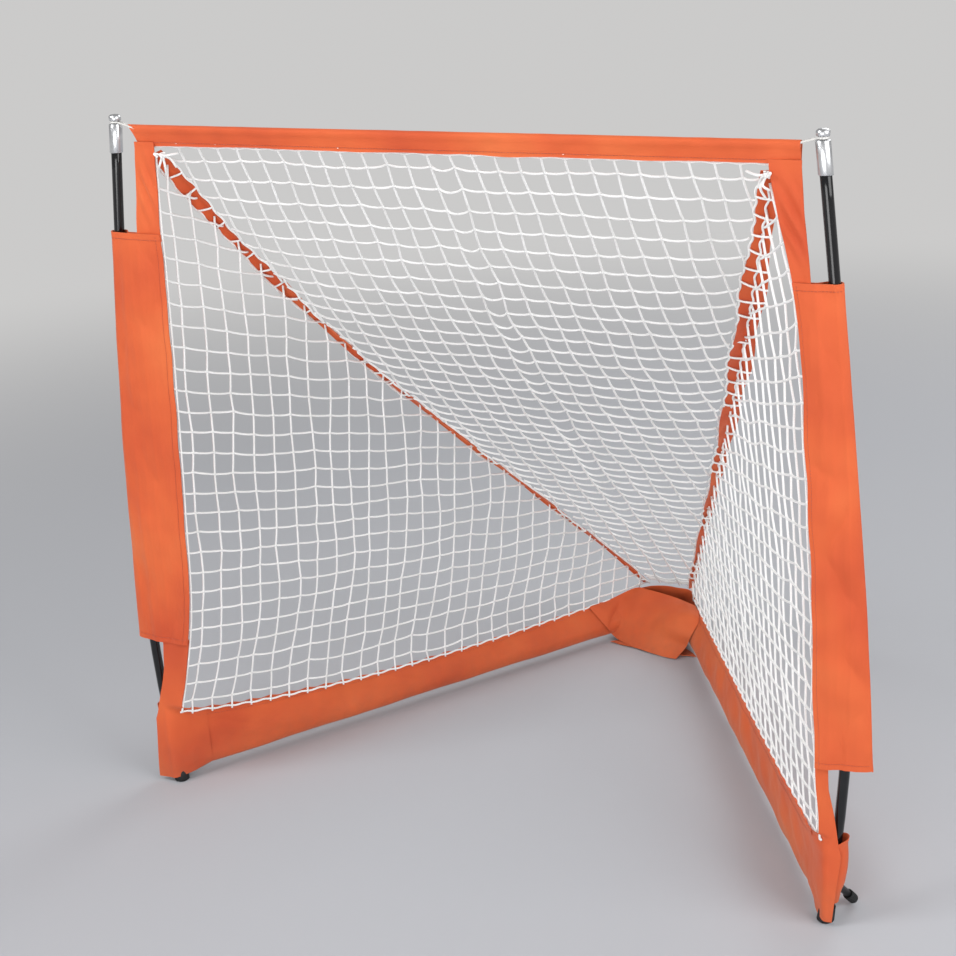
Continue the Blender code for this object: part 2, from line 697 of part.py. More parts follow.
def sheet_y(z):
    """Front fabric's place in depth: it steps forward to pass in front of the socket."""
    t = (SHEET_STEP_TOP - z) / (SHEET_STEP_TOP - SHEET_STEP_BOTTOM)
    t = max(0.0, min(1.0, t))
    return FRONT_SHEET_Y + t * (CORNER_SHEET_Y - FRONT_SHEET_Y)


def post_band(goal, label, side):
    """Fabric strip down the front of the net beside the pole, and over the corner."""
    heights = sorted([z for z, _ in BAND_OUTER_EDGE] + [SHEET_STEP_BOTTOM, SHEET_STEP_TOP])
    rows = []
    for z in heights:
        y = sheet_y(z)
        rows.append([(side * band_inner_x(z), y, z), (side * band_outer_x(z), y, z)])
    band = ribbon(rows, (0, FABRIC, 0))
    goal.add(f"post_band_{label}", band, f"arm_{label}", "orange_fabric", smooth=False)


def flap_front(goal, label, side):
    """Front layer of the pole flap, sewn on the band's outer edge."""
    rows = []
    for z in flap_heights():
        inner = (side * (band_outer_x(z) + GAP), sheet_y(z), z)
        outer = (side * flap_outer_x(z), sheet_y(z), z)
        rows.append([inner, outer])
    layer = ribbon(rows, (0, FABRIC, 0))
    goal.add(f"flap_front_{label}", layer, f"arm_{label}", "orange_fabric", smooth=False)


def flap_back(goal, label, side):
    """Rear layer, folded back at the outer edge, with the fastening tape on its inner margin."""
    rows, tape = [], []
    landing_y = FRONT_SHEET_Y + 2 * FABRIC + TAPE_STACK
    tape_y = landing_y - FABRIC - GAP
    for z in flap_heights():
        behind_pole = pole_x(z) - POLE_R - FLAP_CLEARANCE
        edge = band_outer_x(z) - TAPE_INSET
        tape_start = edge - TAPE_MARGIN
        tape_end = tape_start - TAPE_WIDTH
        end = tape_end - TAPE_MARGIN
        rows.append(
            [
                (side * flap_outer_x(z), BACK_SHEET_Y, z),
                (side * behind_pole, BACK_SHEET_Y, z),
                (side * edge, landing_y, z),
                (side * end, landing_y, z),
            ]
        )
        tape.append([(side * tape_start, tape_y, z), (side * tape_end, tape_y, z)])
    body = f"flap_{label}"
    layer = ribbon(rows, (0, FABRIC, 0))
    goal.add(f"flap_back_{label}", layer, body, "orange_fabric", smooth=False)
    loops = ribbon(tape, (0, FABRIC, 0))
    goal.add(f"loop_tape_{label}", loops, body, "black_tape", smooth=False)


def hook_tape(goal, label, side):
    """Hook side of the fastening tape, sewn on the back of the band."""
    rows = []
    y = FRONT_SHEET_Y + FABRIC + GAP
    for z in flap_heights():
        start = band_outer_x(z) - TAPE_INSET - TAPE_MARGIN
        rows.append([(side * start, y, z), (side * (start - TAPE_WIDTH), y, z)])
    tape = ribbon(rows, (0, HOOK_THICKNESS, 0))
    goal.add(f"hook_tape_{label}", tape, f"arm_{label}", "black_tape", smooth=False)


def sleeve_section(side, along, top_z, shrink):
    """Section across the bottom sleeve: round under the tube, tapering to a flat flange."""
    half, drop = SLEEVE_HALF_WIDTH - shrink, SLEEVE_DROP - shrink
    flange = FLANGE_HALF_WIDTH - shrink
    points = []
    for i in range(SLEEVE_STEPS + 1):
        a = math.pi + math.pi * i / SLEEVE_STEPS
        points.append((half * math.cos(a), ARM_Z + drop * math.sin(a)))
    shoulder_z = SLEEVE_CAVITY_TOP_Z
    points += [(flange, shoulder_z), (flange, top_z), (-flange, top_z), (-flange, shoulder_z)]
    return [on_arm(side, along, v, z) for v, z in points]


def bottom_sleeve(goal, label, side):
    """Fabric hem round the base arm, open at both ends, with the flat flange the net is laced to."""
    ends = (SLEEVE_START, ARM_LENGTH - SLEEVE_END_INSET)
    tops = (SLEEVE_BACK_TOP_Z, SLEEVE_FRONT_TOP_Z)
    cavity_top = SLEEVE_CAVITY_TOP_Z + SLEEVE_CAVITY_LIP
    outer, inner = [], []
    for i in range(SLEEVE_ROWS):
        t = i / (SLEEVE_ROWS - 1)
        along = ends[0] + t * (ends[1] - ends[0])
        top = tops[0] + t * (tops[1] - tops[0])
        outer.append(sleeve_section(side, along, top, 0.0))
        inner.append(sleeve_section(side, along, cavity_top, SLEEVE_WALL))
    sleeve = hollow_loft(outer, inner)
    goal.add(f"bottom_sleeve_{label}", sleeve, f"arm_{label}", "orange_fabric")


def corner_pocket(goal, label, side):
    """Short fabric collar round the mouth of the socket."""
    outer = [post_ring(side, z, POCKET_R) for z in POCKET_Z]
    inner = [post_ring(side, z, POCKET_BORE_R) for z in POCKET_Z]
    pocket = hollow_loft(outer, inner)
    goal.add(f"corner_pocket_{label}", pocket, f"arm_{label}", "orange_fabric")


def net_corners(side):
    """Top, bottom and rear corners of a side panel of the net."""
    corners = (NET_TOP_CORNER, NET_BOTTOM_CORNER, NET_APEX)
    return [Vector((side * x, y, z)) for x, y, z in corners]


def side_net(goal, label, side):
    """Flat triangle of netting from the band back to the apex, under the corner strap."""
    top, bottom, apex = net_corners(side)
    normal = (bottom - top).cross(apex - top).normalized()
    down = (bottom - top).normalized()
    forward = (bottom - apex).normalized()
    back, up = Vector((0, NET_MARGIN, 0)), Vector((0, 0, NET_MARGIN))
    points = [
        top + down * SIDE_NET_TOP_INSET + back,
        bottom + back + up,
        apex + forward * SIDE_NET_APEX_INSET + up,
        apex + forward * STRAP_WIDTH * 1.7 + Vector((0, 0, STRAP_WIDTH / 2 + NET_MARGIN)),
    ]
    half = normal * NET_THICKNESS / 2
    rings = [[p - half for p in points], [p + half for p in points]]
    panel = solid_loft(rings)
    goal.add(f"side_net_{label}", panel, f"arm_{label}", "white_net", smooth=False)


def corner_strap(goal, label, side):
    """Fabric strap from the top corner down to the apex, where side and back nets meet."""
    top, bottom, apex = net_corners(side)
    line = (apex - top).normalized()
    normal = line.cross(Vector((side, 0, 0))).normalized()
    across = line.cross(normal).normalized()
    start = top + line * STRAP_TOP_INSET
    end = apex - line * STRAP_APEX_INSET
    half = across * STRAP_WIDTH / 2
    rows = [[p - half, p + half] for p in (start, end)]
    strap = ribbon(rows, normal * FABRIC)
    goal.add(f"corner_strap_{label}", strap, f"arm_{label}", "orange_fabric", smooth=False)


def back_net(goal):
    """Sloping panel of netting from the top bar down to the apex."""
    top_half = NET_TOP_CORNER[0] - STRAP_WIDTH - NET_MARGIN
    apex_half = NET_APEX[0] - STRAP_WIDTH / 2 - NET_MARGIN
    top_y, top_z = -GOAL_DEPTH + 2 * NET_MARGIN, BAR_BOTTOM_Z - NET_MARGIN
    low_y, low_z = NET_APEX[1] - 5 * NET_MARGIN, NET_APEX[2] + 5.5 * NET_MARGIN
    slope = Vector((0, low_y - top_y, low_z - top_z)).normalized()
    normal = Vector((1, 0, 0)).cross(slope) * NET_THICKNESS / 2
    points = [
        Vector((-top_half, top_y, top_z)),
        Vector((top_half, top_y, top_z)),
        Vector((apex_half, low_y, low_z)),
        Vector((-apex_half, low_y, low_z)),
    ]
    panel = solid_loft([[p - normal for p in points], [p + normal for p in points]])
    goal.add("back_net", panel, "hub", "white_net", smooth=False)


def rear_pocket(goal):
    """Fabric cover over the hub: high at its rear edge, down to the floor in front."""
    rows = []
    for y, z, half in REAR_COVER_STATIONS:
        crown = REAR_COVER_CROWN * z
        shares = (-1.0, -0.5, 0.0, 0.5, 1.0)
        rows.append([(half * t, y, z - crown * t * t) for t in shares])
    cover = ribbon(rows, (0, 0, FABRIC))
    goal.add("rear_pocket_cover", cover, "hub", "orange_fabric")
    low = [[(-w, y, FLOOR_LIFT), (w, y, FLOOR_LIFT)] for y, w in REAR_FLOOR_STATIONS]
    floor = ribbon(low, (0, 0, FABRIC))
    goal.add("rear_pocket_floor", floor, "hub", "orange_fabric", smooth=False)


def build():
    remove_scene_objects()
    goal = Goal()
    goal.add_body("hub", (0, 0, 0))
    hub_foot_pad(goal)
    pad_screw(goal)
    hub_plate(goal, "hub_base_plate", BASE_PLATE_Z)
    hub_plate(goal, "hub_top_plate", TOP_PLATE_Z)
    top_bar(goal)
    back_net(goal)
    rear_pocket(goal)
    for label, side in SIDES:
        goal.add_body(f"arm_{label}", (side * PIVOT_X, 0, 0))
        socket_x = side * (POLE_FOOT_X + POLE_SLOPE * SOCKET_FLOOR_Z)
        goal.add_body(f"pole_{label}", (socket_x, -GOAL_DEPTH, SOCKET_FLOOR_Z))
        goal.add_body(f"flap_{label}", (side * FLAP_BOTTOM_X, -GOAL_DEPTH, FLAP_BOTTOM_Z))
        pivot_bolt(goal, label, side)
        base_arm(goal, label, side)
        arm_end_plug(goal, label, side)
        pole_socket(goal, label, side)
        socket_rivet(goal, label, side)
        foot_cap(goal, label, side)
        leg_tip(goal, label, side)
        pole_sections(goal, label, side)
        pole_tip(goal, label, side)
        corner_loop(goal, label, side)
        post_band(goal, label, side)
        flap_front(goal, label, side)
        flap_back(goal, label, side)
        hook_tape(goal, label, side)
        bottom_sleeve(goal, label, side)
        corner_pocket(goal, label, side)
        side_net(goal, label, side)
        corner_strap(goal, label, side)


build()
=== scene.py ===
import json
import math

import bmesh
import bpy
import numpy as np
from mathutils import Matrix, Vector


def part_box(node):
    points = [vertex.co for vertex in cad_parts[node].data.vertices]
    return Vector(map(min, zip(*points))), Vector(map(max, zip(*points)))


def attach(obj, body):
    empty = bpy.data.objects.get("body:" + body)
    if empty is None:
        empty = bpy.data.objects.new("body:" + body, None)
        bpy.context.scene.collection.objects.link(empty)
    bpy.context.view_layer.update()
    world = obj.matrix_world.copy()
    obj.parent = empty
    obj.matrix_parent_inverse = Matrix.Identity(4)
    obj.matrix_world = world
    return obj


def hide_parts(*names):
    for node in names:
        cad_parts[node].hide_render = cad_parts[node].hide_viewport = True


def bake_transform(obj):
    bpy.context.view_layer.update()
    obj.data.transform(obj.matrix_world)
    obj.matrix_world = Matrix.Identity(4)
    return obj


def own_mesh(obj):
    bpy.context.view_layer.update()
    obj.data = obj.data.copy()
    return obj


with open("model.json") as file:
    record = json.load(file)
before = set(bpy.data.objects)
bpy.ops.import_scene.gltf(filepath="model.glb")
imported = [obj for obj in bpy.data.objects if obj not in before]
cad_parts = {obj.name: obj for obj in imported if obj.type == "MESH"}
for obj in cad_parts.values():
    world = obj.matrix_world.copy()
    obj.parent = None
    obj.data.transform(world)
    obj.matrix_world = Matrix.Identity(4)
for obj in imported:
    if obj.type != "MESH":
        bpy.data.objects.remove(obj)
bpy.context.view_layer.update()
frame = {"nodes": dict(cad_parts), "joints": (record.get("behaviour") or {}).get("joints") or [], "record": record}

SIGN = {"left": -1, "right": 1}
SIDES = tuple(SIGN.items())

# Places read from the frame
JOINTS = {j["name"]: j for j in frame["joints"]}
MOUNTS = {m["name"]: m for m in frame["record"]["mounts"]}
PIVOT_X, _, ARM_Z = JOINTS["base_fold_right"]["pos_m"]
GOAL_Y = MOUNTS["foot_rest_right"]["pos_m"][1]

# Net and cords
MESH = 0.0378
SIDE_COLUMN, BACK_COLUMN, BACK_ROW = 0.040, 0.0375, 0.034
FIRST_COLUMN = 0.023
BACK_SPREAD = 0.16
TWINE_R, KNOT_R, CORD_R = 0.0020, 0.0031, 0.0018
TIGHT_TWINE_R = 0.9 * TWINE_R
PINCH = 0.05

# Fabric
CLOTH = 0.0011
STITCH_LENGTH, STITCH_GAP, STITCH_R = 0.0034, 0.0016, 0.00036
SEAM_INSET = 0.005

# How the cloth of each side hangs. The band's two edges are drawn off their straight lines, and the
# flap's fold off its own, at even steps from the top down; the flap's ends sit off their heights
HANG = {
    "left": {
        "inner": (-0.006, -0.021, -0.030, -0.036, -0.038, -0.008),
        "outer": (-0.010, -0.008, 0.0, 0.0, 0.004, -0.004),
        "fold": (0.0, 0.003, 0.005, 0.004, 0.0, -0.004),
        "ends": (0.008, 0.005),
        "foot": 0.018,
        "turn": (36, 66, 78, 83, 80, 83),
        "strap": (0.0120, 0.0125, 0.0105, 0.0100, 0.0090, 0.0075),
        "hem": (-0.006, 0.0015),
    },
    "right": {
        "inner": (-0.004, 0.0265, 0.025, 0.0225, 0.0125, 0.009),
        "outer": (0.0, 0.010, 0.004, 0.0, 0.013, -0.006),
        "fold": (-0.001, 0.003, 0.006, 0.009, 0.009, 0.007),
        "ends": (-0.006, -0.0125),
        "foot": -0.004,
        "turn": (60, 70, 76, 80, 80, 83),
        "strap": (0.0135, 0.0185, 0.0140, 0.0095, 0.0080, 0.0070),
        "hem": (0.010, 0.0060),
    },
}
STRAP_SAG = 0.050

# The bottom sleeve's cross-section: its belly under the arm, and the points that draw it
HEM_HALF, HEM_DROP = 0.0152, 0.0235
BELLY_POINTS, LAYER_POINTS = 21, 13
HEM_TURN = BELLY_POINTS + LAYER_POINTS
HEM_CLOTH, STRAP_CLOTH, BAR_CLOTH, TAPE = 0.0010, 0.0013, 0.0009, 0.0012

# Heights of the band, and how far in front of the goal plane it lies there: under the bar, over the
# tape and round the socket
DEPTH_Z = (0.014, 0.13, 0.20, 1.045, 1.10)
DEPTH = (0.0166, 0.0160, 0.0124, 0.0124, 0.0098, 0.0046)

# Camera: place, viewing angle in degrees and lens, as a photographer would stand
CAMERA_AT = (1.1755, GOAL_Y - 2.1765, 1.5252)
CAMERA_ANGLES = (25.705, 21.252, 2.326)
CAMERA_LENS, CAMERA_SHIFT = 61.726, (-0.0537, 0.0631)
BACKDROP = (0.60, 0.595, 0.590, 1.0)
FLOOR_SIZE = 40


# --- short forms for points, curves and folds ---


def join(*parts):
    """Points from coordinates of any shapes that go together."""
    return np.stack(np.broadcast_arrays(*parts), -1)


def unit(vectors):
    return vectors / (np.linalg.norm(vectors, axis=-1, keepdims=True) + 1e-12)


def run_length(path):
    """Distance along a path, or the mean one along the rows of a grid."""
    steps = np.linalg.norm(np.diff(path, axis=0), axis=-1)
    return np.concatenate([[0], np.cumsum(steps.reshape(len(steps), -1).mean(1))])


def sample(at, along, values):
    """Every column of the values, which stand at places along, read at other places."""
    return np.stack([np.interp(at, along, column) for column in values.T], -1)


def evenly(path, count):
    """A path's points, shared out again at even distances."""
    along = run_length(path)
    return sample(np.linspace(0, along[-1], count), along, path)


def smooth_path(points, factor=3):
    """Catmull-Rom curve through points, factor pieces per gap."""
    p = np.concatenate([2 * points[:1] - points[1:2], points, 2 * points[-1:] - points[-2:-1]])
    t = np.arange(factor)[:, None, None] / factor
    a, b, c, d = p[:-3], p[1:-2], p[2:-1], p[3:]
    bend = (2 * a - 5 * b + 4 * c - d) * t**2 + (3 * b - a - 3 * c + d) * t**3
    path = 0.5 * (2 * b + (c - a) * t + bend)
    return np.concatenate([path.transpose(1, 0, 2).reshape(-1, 3), points[-1:]])


def curve(values, t):
    """Smooth curve through values at even steps, as t goes from 0 to 1."""
    values = np.asarray(values, float)
    slope = np.gradient(values)
    at = np.clip(t, 0, 1) * (len(values) - 1)
    k = np.minimum(np.asarray(at).astype(int), len(values) - 2)
    s = at - k
    h = s * s * (3 - 2 * s)
    ease = slope[k] * s * (1 - s) ** 2 - slope[k + 1] * s * s * (1 - s)
    return values[k] * (1 - h) + values[k + 1] * h + ease


def smooth(t):
    t = np.clip(t, 0, 1)
    return t * t * (3 - 2 * t)


def ramp(t):
    return np.clip(t, 0, 1)


def arch(t):
    return np.sin(math.pi * t)


def wave(x, length):
    return np.sin(x * 2 * math.pi / length)


def bell(x, middle, width):
    return np.exp(-(((x - middle) / width) ** 2))


def ripples(u, v, seed, wavelength, terms=7):
    """Smooth bumpy field of about unit height over two coordinates in metres, the same every run."""
    rng = np.random.default_rng(seed)
    total = np.zeros(np.broadcast(u, v).shape)
    for _ in range(terms):
        angle = rng.uniform(0, math.pi)
        length = wavelength * rng.uniform(0.6, 1.7)
        phase = rng.uniform(0, 2 * math.pi)
        total += np.sin((u * math.cos(angle) + v * math.sin(angle)) * 2 * math.pi / length + phase)
    return total / math.sqrt(terms)


def mirrored(points, side):
    """Points of the right side, or their mirror image for the left."""
    return np.asarray(points, float) * (side, 1, 1)


# --- reading the frame ---


def mesh_points(mesh):
    points = np.empty(len(mesh.vertices) * 3)
    mesh.vertices.foreach_get("co", points)
    return points.reshape(-1, 3)


def levels(node):
    """Heights of a node's level rings, and its least and greatest |x| at each."""
    points = mesh_points(frame["nodes"][node].data)
    keys = np.round(points[:, 2], 4)
    rings = [(z, np.abs(points[keys == z, 0])) for z in np.unique(keys)]
    return np.array([(z, x.min(), x.max()) for z, x in rings]).T


POLE = np.hstack([levels("pole_lower_right"), levels("pole_upper_right")])
POLE = POLE[:, np.argsort(POLE[0])]
POLE_R = float((POLE[2] - POLE[1]).min() / 2)
BAND = levels("post_band_right")
FLAP = levels("flap_front_right")
BAR_LOW, BAR_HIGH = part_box("top_bar_sleeve")
SLEEVE_TOP = float(mesh_points(frame["nodes"]["bottom_sleeve_right"].data)[:, 2].max())
BAND_FLAT = BAND[:, (BAND[2] - BAND[1] > 0.01) & (BAND[0] > SLEEVE_TOP - 0.01)]
BAND_TOP, FLAP_LOW, FLAP_HIGH = BAND[0].max(), FLAP[0].min(), FLAP[0].max()


def pole_x(z):
    return np.interp(z, POLE[0], (POLE[1] + POLE[2]) / 2)


def band_line(z):
    return np.interp(z, BAND_FLAT[0], BAND_FLAT[1])


SOCKET_X = pole_x(0.05)
ARM_ANGLE = math.atan2(SOCKET_X - PIVOT_X, -GOAL_Y)
ARM_SIN, ARM_COS = math.sin(ARM_ANGLE), math.cos(ARM_ANGLE)
ARM_LENGTH = math.hypot(SOCKET_X - PIVOT_X, GOAL_Y)
APEX = np.array([0.052, 0.02, 0.10])
NET_TOP = np.array([band_line(BAND_TOP), GOAL_Y, BAR_LOW.z - 0.002])
NET_FOOT = np.array([band_line(SLEEVE_TOP), GOAL_Y, SLEEVE_TOP])
NET_PLANE = unit(np.cross(NET_FOOT - NET_TOP, APEX - NET_TOP))


def in_arm(point):
    """Along and across the right arm of a point in plan."""
    x, y = point[0] - PIVOT_X, point[1]
    return x * ARM_SIN - y * ARM_COS, x * ARM_COS + y * ARM_SIN


def on_arm(along, across, z):
    """Point of the right arm's own coordinates: along it, across it to the outside, up."""
    x = PIVOT_X + along * ARM_SIN + across * ARM_COS
    return join(x, across * ARM_SIN - along * ARM_COS, z)


APEX_ALONG, APEX_ACROSS = in_arm(APEX)
NET_FOOT_ALONG, NET_FOOT_ACROSS = in_arm(NET_FOOT)


def band_fraction(z):
    return (BAND_TOP - z) / (BAND_TOP - SLEEVE_TOP)


def band_inner(z, label):
    return band_line(z) + curve(HANG[label]["inner"], band_fraction(z))


def band_outer(z, label):
    return np.interp(z, BAND[0], BAND[2]) + curve(HANG[label]["outer"], band_fraction(z))


def flap_fold(z, label):
    drawn = curve(HANG[label]["fold"], (FLAP_HIGH - z) / (FLAP_HIGH - FLAP_LOW))
    return np.interp(z, FLAP[0], FLAP[2]) + drawn


# --- meshes from arrays ---


def new_object(name, data):
    obj = bpy.data.objects.new(name, data)
    bpy.context.scene.collection.objects.link(obj)
    return obj


def make_mesh(name, points, quads, uv):
    """Closed object from arrays of points, quads and one UV per corner, its faces pointing out."""
    mesh = bpy.data.meshes.new(name)
    mesh.vertices.add(len(points))
    mesh.vertices.foreach_set("co", points.astype(np.float32).ravel())
    mesh.loops.add(quads.size)
    mesh.loops.foreach_set("vertex_index", quads.astype(np.int32).ravel())
    mesh.polygons.add(len(quads))
    mesh.polygons.foreach_set("loop_start", np.arange(0, quads.size, 4, dtype=np.int32))
    mesh.update(calc_edges=True)
    mesh.uv_layers.new(name="UVMap").data.foreach_set("uv", uv.astype(np.float32).ravel())
    mesh.validate()
    mesh.shade_smooth()
    bm = bmesh.new()
    bm.from_mesh(mesh)
    bmesh.ops.recalc_face_normals(bm, faces=bm.faces)
    bm.to_mesh(mesh)
    bm.free()
    return new_object(name, mesh)


CORNERS = ((0, 0), (0, 1), (1, 1), (1, 0))


def ring_stack(rings, along):
    """Skin through rings of points, shut by a fan of quads at both ends: points, quads and UVs."""
    rows, count = rings.shape[:2]
    i, j = np.arange(rows - 1)[:, None], np.arange(count)[None]
    quads = np.stack([(i + a) * count + (j + b) % count for a, b in CORNERS], -1).reshape(-1, 4)
    uv = np.stack([join(along[i + a], (j + b) / count) for a, b in CORNERS], 2).reshape(-1, 2)
    k = np.arange(0, count - 2, 2)
    fan = np.stack([0 * k, k + 1, k + 2, (k + 3) % count], -1)
    quads = np.vstack([quads, fan[:, ::-1], fan + (rows - 1) * count])
    return rings.reshape(-1, 3), quads, np.vstack([uv, np.zeros((8 * len(fan), 2))])


class Pieces:
    """Collects many small closed pieces of thread and twine into one mesh."""

    def __init__(self):
        self.parts, self.count = [], 0

    def add(self, points, quads, uv):
        self.parts.append((points, quads + self.count, uv))
        self.count += len(points)

    def tube(self, path, radius, reference, sides=6):
        """Round strand along a path, pinched at its ends; the reference sets how its sides turn."""
        tangent = unit(np.gradient(path, axis=0))
        across = unit(np.cross(tangent, reference))
        up = np.cross(across, tangent)
        path, across, up = (np.concatenate([a[:1], a, a[-1:]]) for a in (path, across, up))
        radii = np.full((len(path), 1, 1), radius)
        radii[[0, -1]] *= PINCH
        angle = (np.arange(sides) * 2 * math.pi / sides)[:, None]
        ring = across[:, None] * np.cos(angle) + up[:, None] * np.sin(angle)
        self.add(*ring_stack(path[:, None] + ring * radii, run_length(path)))

    def knot(self, centre):
        """Small rounded knot of twine."""
        turns, rings, cut = 8, 5, 0.25
        polar = np.linspace(cut, math.pi - cut, rings)[:, None]
        spin = np.arange(turns) * 2 * math.pi / turns
        ball = join(np.sin(polar) * np.cos(spin), np.sin(polar) * np.sin(spin), np.cos(polar))
        points, quads, uv = ring_stack(ball * KNOT_R + centre, np.zeros(rings))
        self.add(points, quads, 0 * uv)

    def stitches(self, path, normal):
        """Row of thread stitches that lies on a surface along a path."""
        length = run_length(path)
        normal = np.broadcast_to(normal, path.shape)
        pitch = STITCH_LENGTH + STITCH_GAP
        lift = np.array([-0.3, 0.5, 0.5, -0.3])[:, None] * STITCH_R
        for k in range(int(length[-1] / pitch)):
            at = k * pitch + STITCH_GAP / 2 + STITCH_LENGTH * np.array([0.0, 0.25, 0.75, 1.0])
            up = sample(at[1], length, normal)
            self.tube(sample(at, length, path) + up * lift, STITCH_R, up, 4)

    def build(self, name, side=1):
        points, quads, uv = (np.concatenate(column) for column in zip(*self.parts))
        return make_mesh(name, mirrored(points, side), quads, uv)


def grid_normals(grid):
    return unit(np.cross(np.gradient(grid, axis=0), np.gradient(grid, axis=1)))


def cloth(name, grid, thickness=CLOTH, closed=False):
    """Thick sheet over a grid of points, or a tube through closed rings, with UVs in metres."""
    nu, nv = grid.shape[:2]
    normal, girth = grid_normals(grid), grid
    if closed:
        normal = grid_normals(np.concatenate([grid[:, -1:], grid, grid[:, :1]], 1))[:, 1:-1]
        girth = np.concatenate([grid, grid[:, :1]], 1)
    half = normal * np.broadcast_to(thickness, (nu, nv))[..., None] / 2
    points = np.concatenate([(grid + half).reshape(-1, 3), (grid - half).reshape(-1, 3)])
    metre = join(run_length(grid)[:, None], run_length(girth.transpose(1, 0, 2)))
    top = np.arange(nu * nv).reshape(nu, nv)[:, np.arange(girth.shape[1]) % nv]
    low = top + nu * nv
    a, b, c, d = np.s_[:-1, :-1], np.s_[1:, :-1], np.s_[1:, 1:], np.s_[:-1, 1:]
    faces = [((top, a), (top, b), (top, c), (top, d)), ((low, a), (low, d), (low, c), (low, b))]
    rims = [(np.s_[0, 1:], np.s_[0, :-1]), (np.s_[-1, :-1], np.s_[-1, 1:])]
    if not closed:
        rims += [(np.s_[:-1, 0], np.s_[1:, 0]), (np.s_[1:, -1], np.s_[:-1, -1])]
    faces += [((top, p), (low, p), (low, q), (top, q)) for p, q in rims]
    quads = [np.stack([layer[at] for layer, at in face], -1).reshape(-1, 4) for face in faces]
    uv = [np.stack([metre[at] for _, at in face], -2).reshape(-1, 2) for face in faces]
    obj = make_mesh(name, points, np.concatenate(quads), np.concatenate(uv))
    obj.data.set_sharp_from_angle(angle=math.radians(60))
    return obj


# --- the lines the cloth and net hang from (right side; the left is its mirror image) ---


def strap_sag(t):
    """Drop of the strap, which hangs lowest a third of the way down."""
    return STRAP_SAG * 27 / 4 * t * (1 - t) ** 2


STRAP_T = np.linspace(0, 1, 161)
STRAP_HEAD = NET_TOP + (-0.002, 0.004, -0.010)
STRAP = STRAP_HEAD + STRAP_T[:, None] * (APEX - STRAP_HEAD) - join(0, 0, strap_sag(STRAP_T))


def strap_reach(t, label):
    """How far the strap stands in from its centre line, where the back net is laced on."""
    return 0.85 * curve(HANG[label]["strap"], t)


def hem_top(back, label):
    """Height of the hem's top edge at a distance back from the front of the goal."""
    bow = HANG[label]["hem"][0] * arch(ramp(back))
    return 0.082 + (SLEEVE_TOP - 0.077) * np.exp(-np.maximum(back, 0) / 0.34) + bow


def sheet_depth(z):
    """How far in front of the goal plane the band lies."""
    return np.interp(z, (*DEPTH_Z, BAND_TOP), DEPTH)


def band_edge(z, label):
    """Where the side net meets the band, on the back of its inner edge."""
    return join(band_inner(z, label) + 0.002, GOAL_Y - sheet_depth(z) + 0.0046, z)


def strap_at(z):
    """Point of the strap at a height, never lower than its end."""
    return join(*(np.interp(-z, -STRAP[:, 2], STRAP[:, k]) for k in range(2)), z)


def side_point(back, z, label):
    """Point of the side net: a distance back from the band along its level line, and its height."""
    back, z = np.broadcast_arrays(np.asarray(back, float), np.asarray(z, float))
    front, rear = band_edge(z, label), strap_at(z)
    reach = np.linalg.norm((rear - front)[..., :2], axis=-1)
    point = front + (rear - front) * (back / reach)[..., None]
    point[..., 2] = z
    return point


def strap_depths(label):
    """How far back from the band the strap passes, and at what height."""
    return np.linalg.norm((STRAP - band_edge(STRAP[:, 2], label))[:, :2], axis=1), STRAP[:, 2]


def row_height(front_z, back, label):
    """Height of a side row, which starts at front_z and slopes down to the rear."""
    low = np.exp(-(front_z - SLEEVE_TOP) / 0.15)
    fall = 0.10 + 0.25 * (front_z - SLEEVE_TOP)
    run = back + 0.02 * (1 - np.exp(-back / 0.05)) - 0.12 * back**2
    along_hem = hem_top(0.0, label) - hem_top(back, label)
    return front_z - low * along_hem - (1 - low) * fall * run


BACK_TOP = np.array([GOAL_Y + 0.0036, BAR_LOW.z + 0.002])
BACK_LOW = np.array([APEX[1] - 0.004, APEX[2] + 0.012])
BACK_SLOPE = float(np.linalg.norm(BACK_LOW - BACK_TOP))


def back_half(down, label="right"):
    """Half width of the back net at a distance down its slope."""
    t = down / BACK_SLOPE
    return np.interp(t, STRAP_T, STRAP[:, 0]) - strap_reach(t, label)


def back_point(x, down):
    """Point of the back net, which dips beside each strap and hangs nearly level between."""
    t = ramp(down / BACK_SLOPE)
    y, z = BACK_TOP + (BACK_LOW - BACK_TOP) * down / BACK_SLOPE
    sag = strap_sag(t)
    inside = max(back_half(down) - abs(x), 0)
    dip = 0.020 * (1 - math.exp(-inside / 0.05)) * smooth(t / 0.2) * (1 - t)
    return (x, y - 0.4 * sag, z - sag - dip)


# --- net: strands between held knots, with slack that hangs in each cell ---


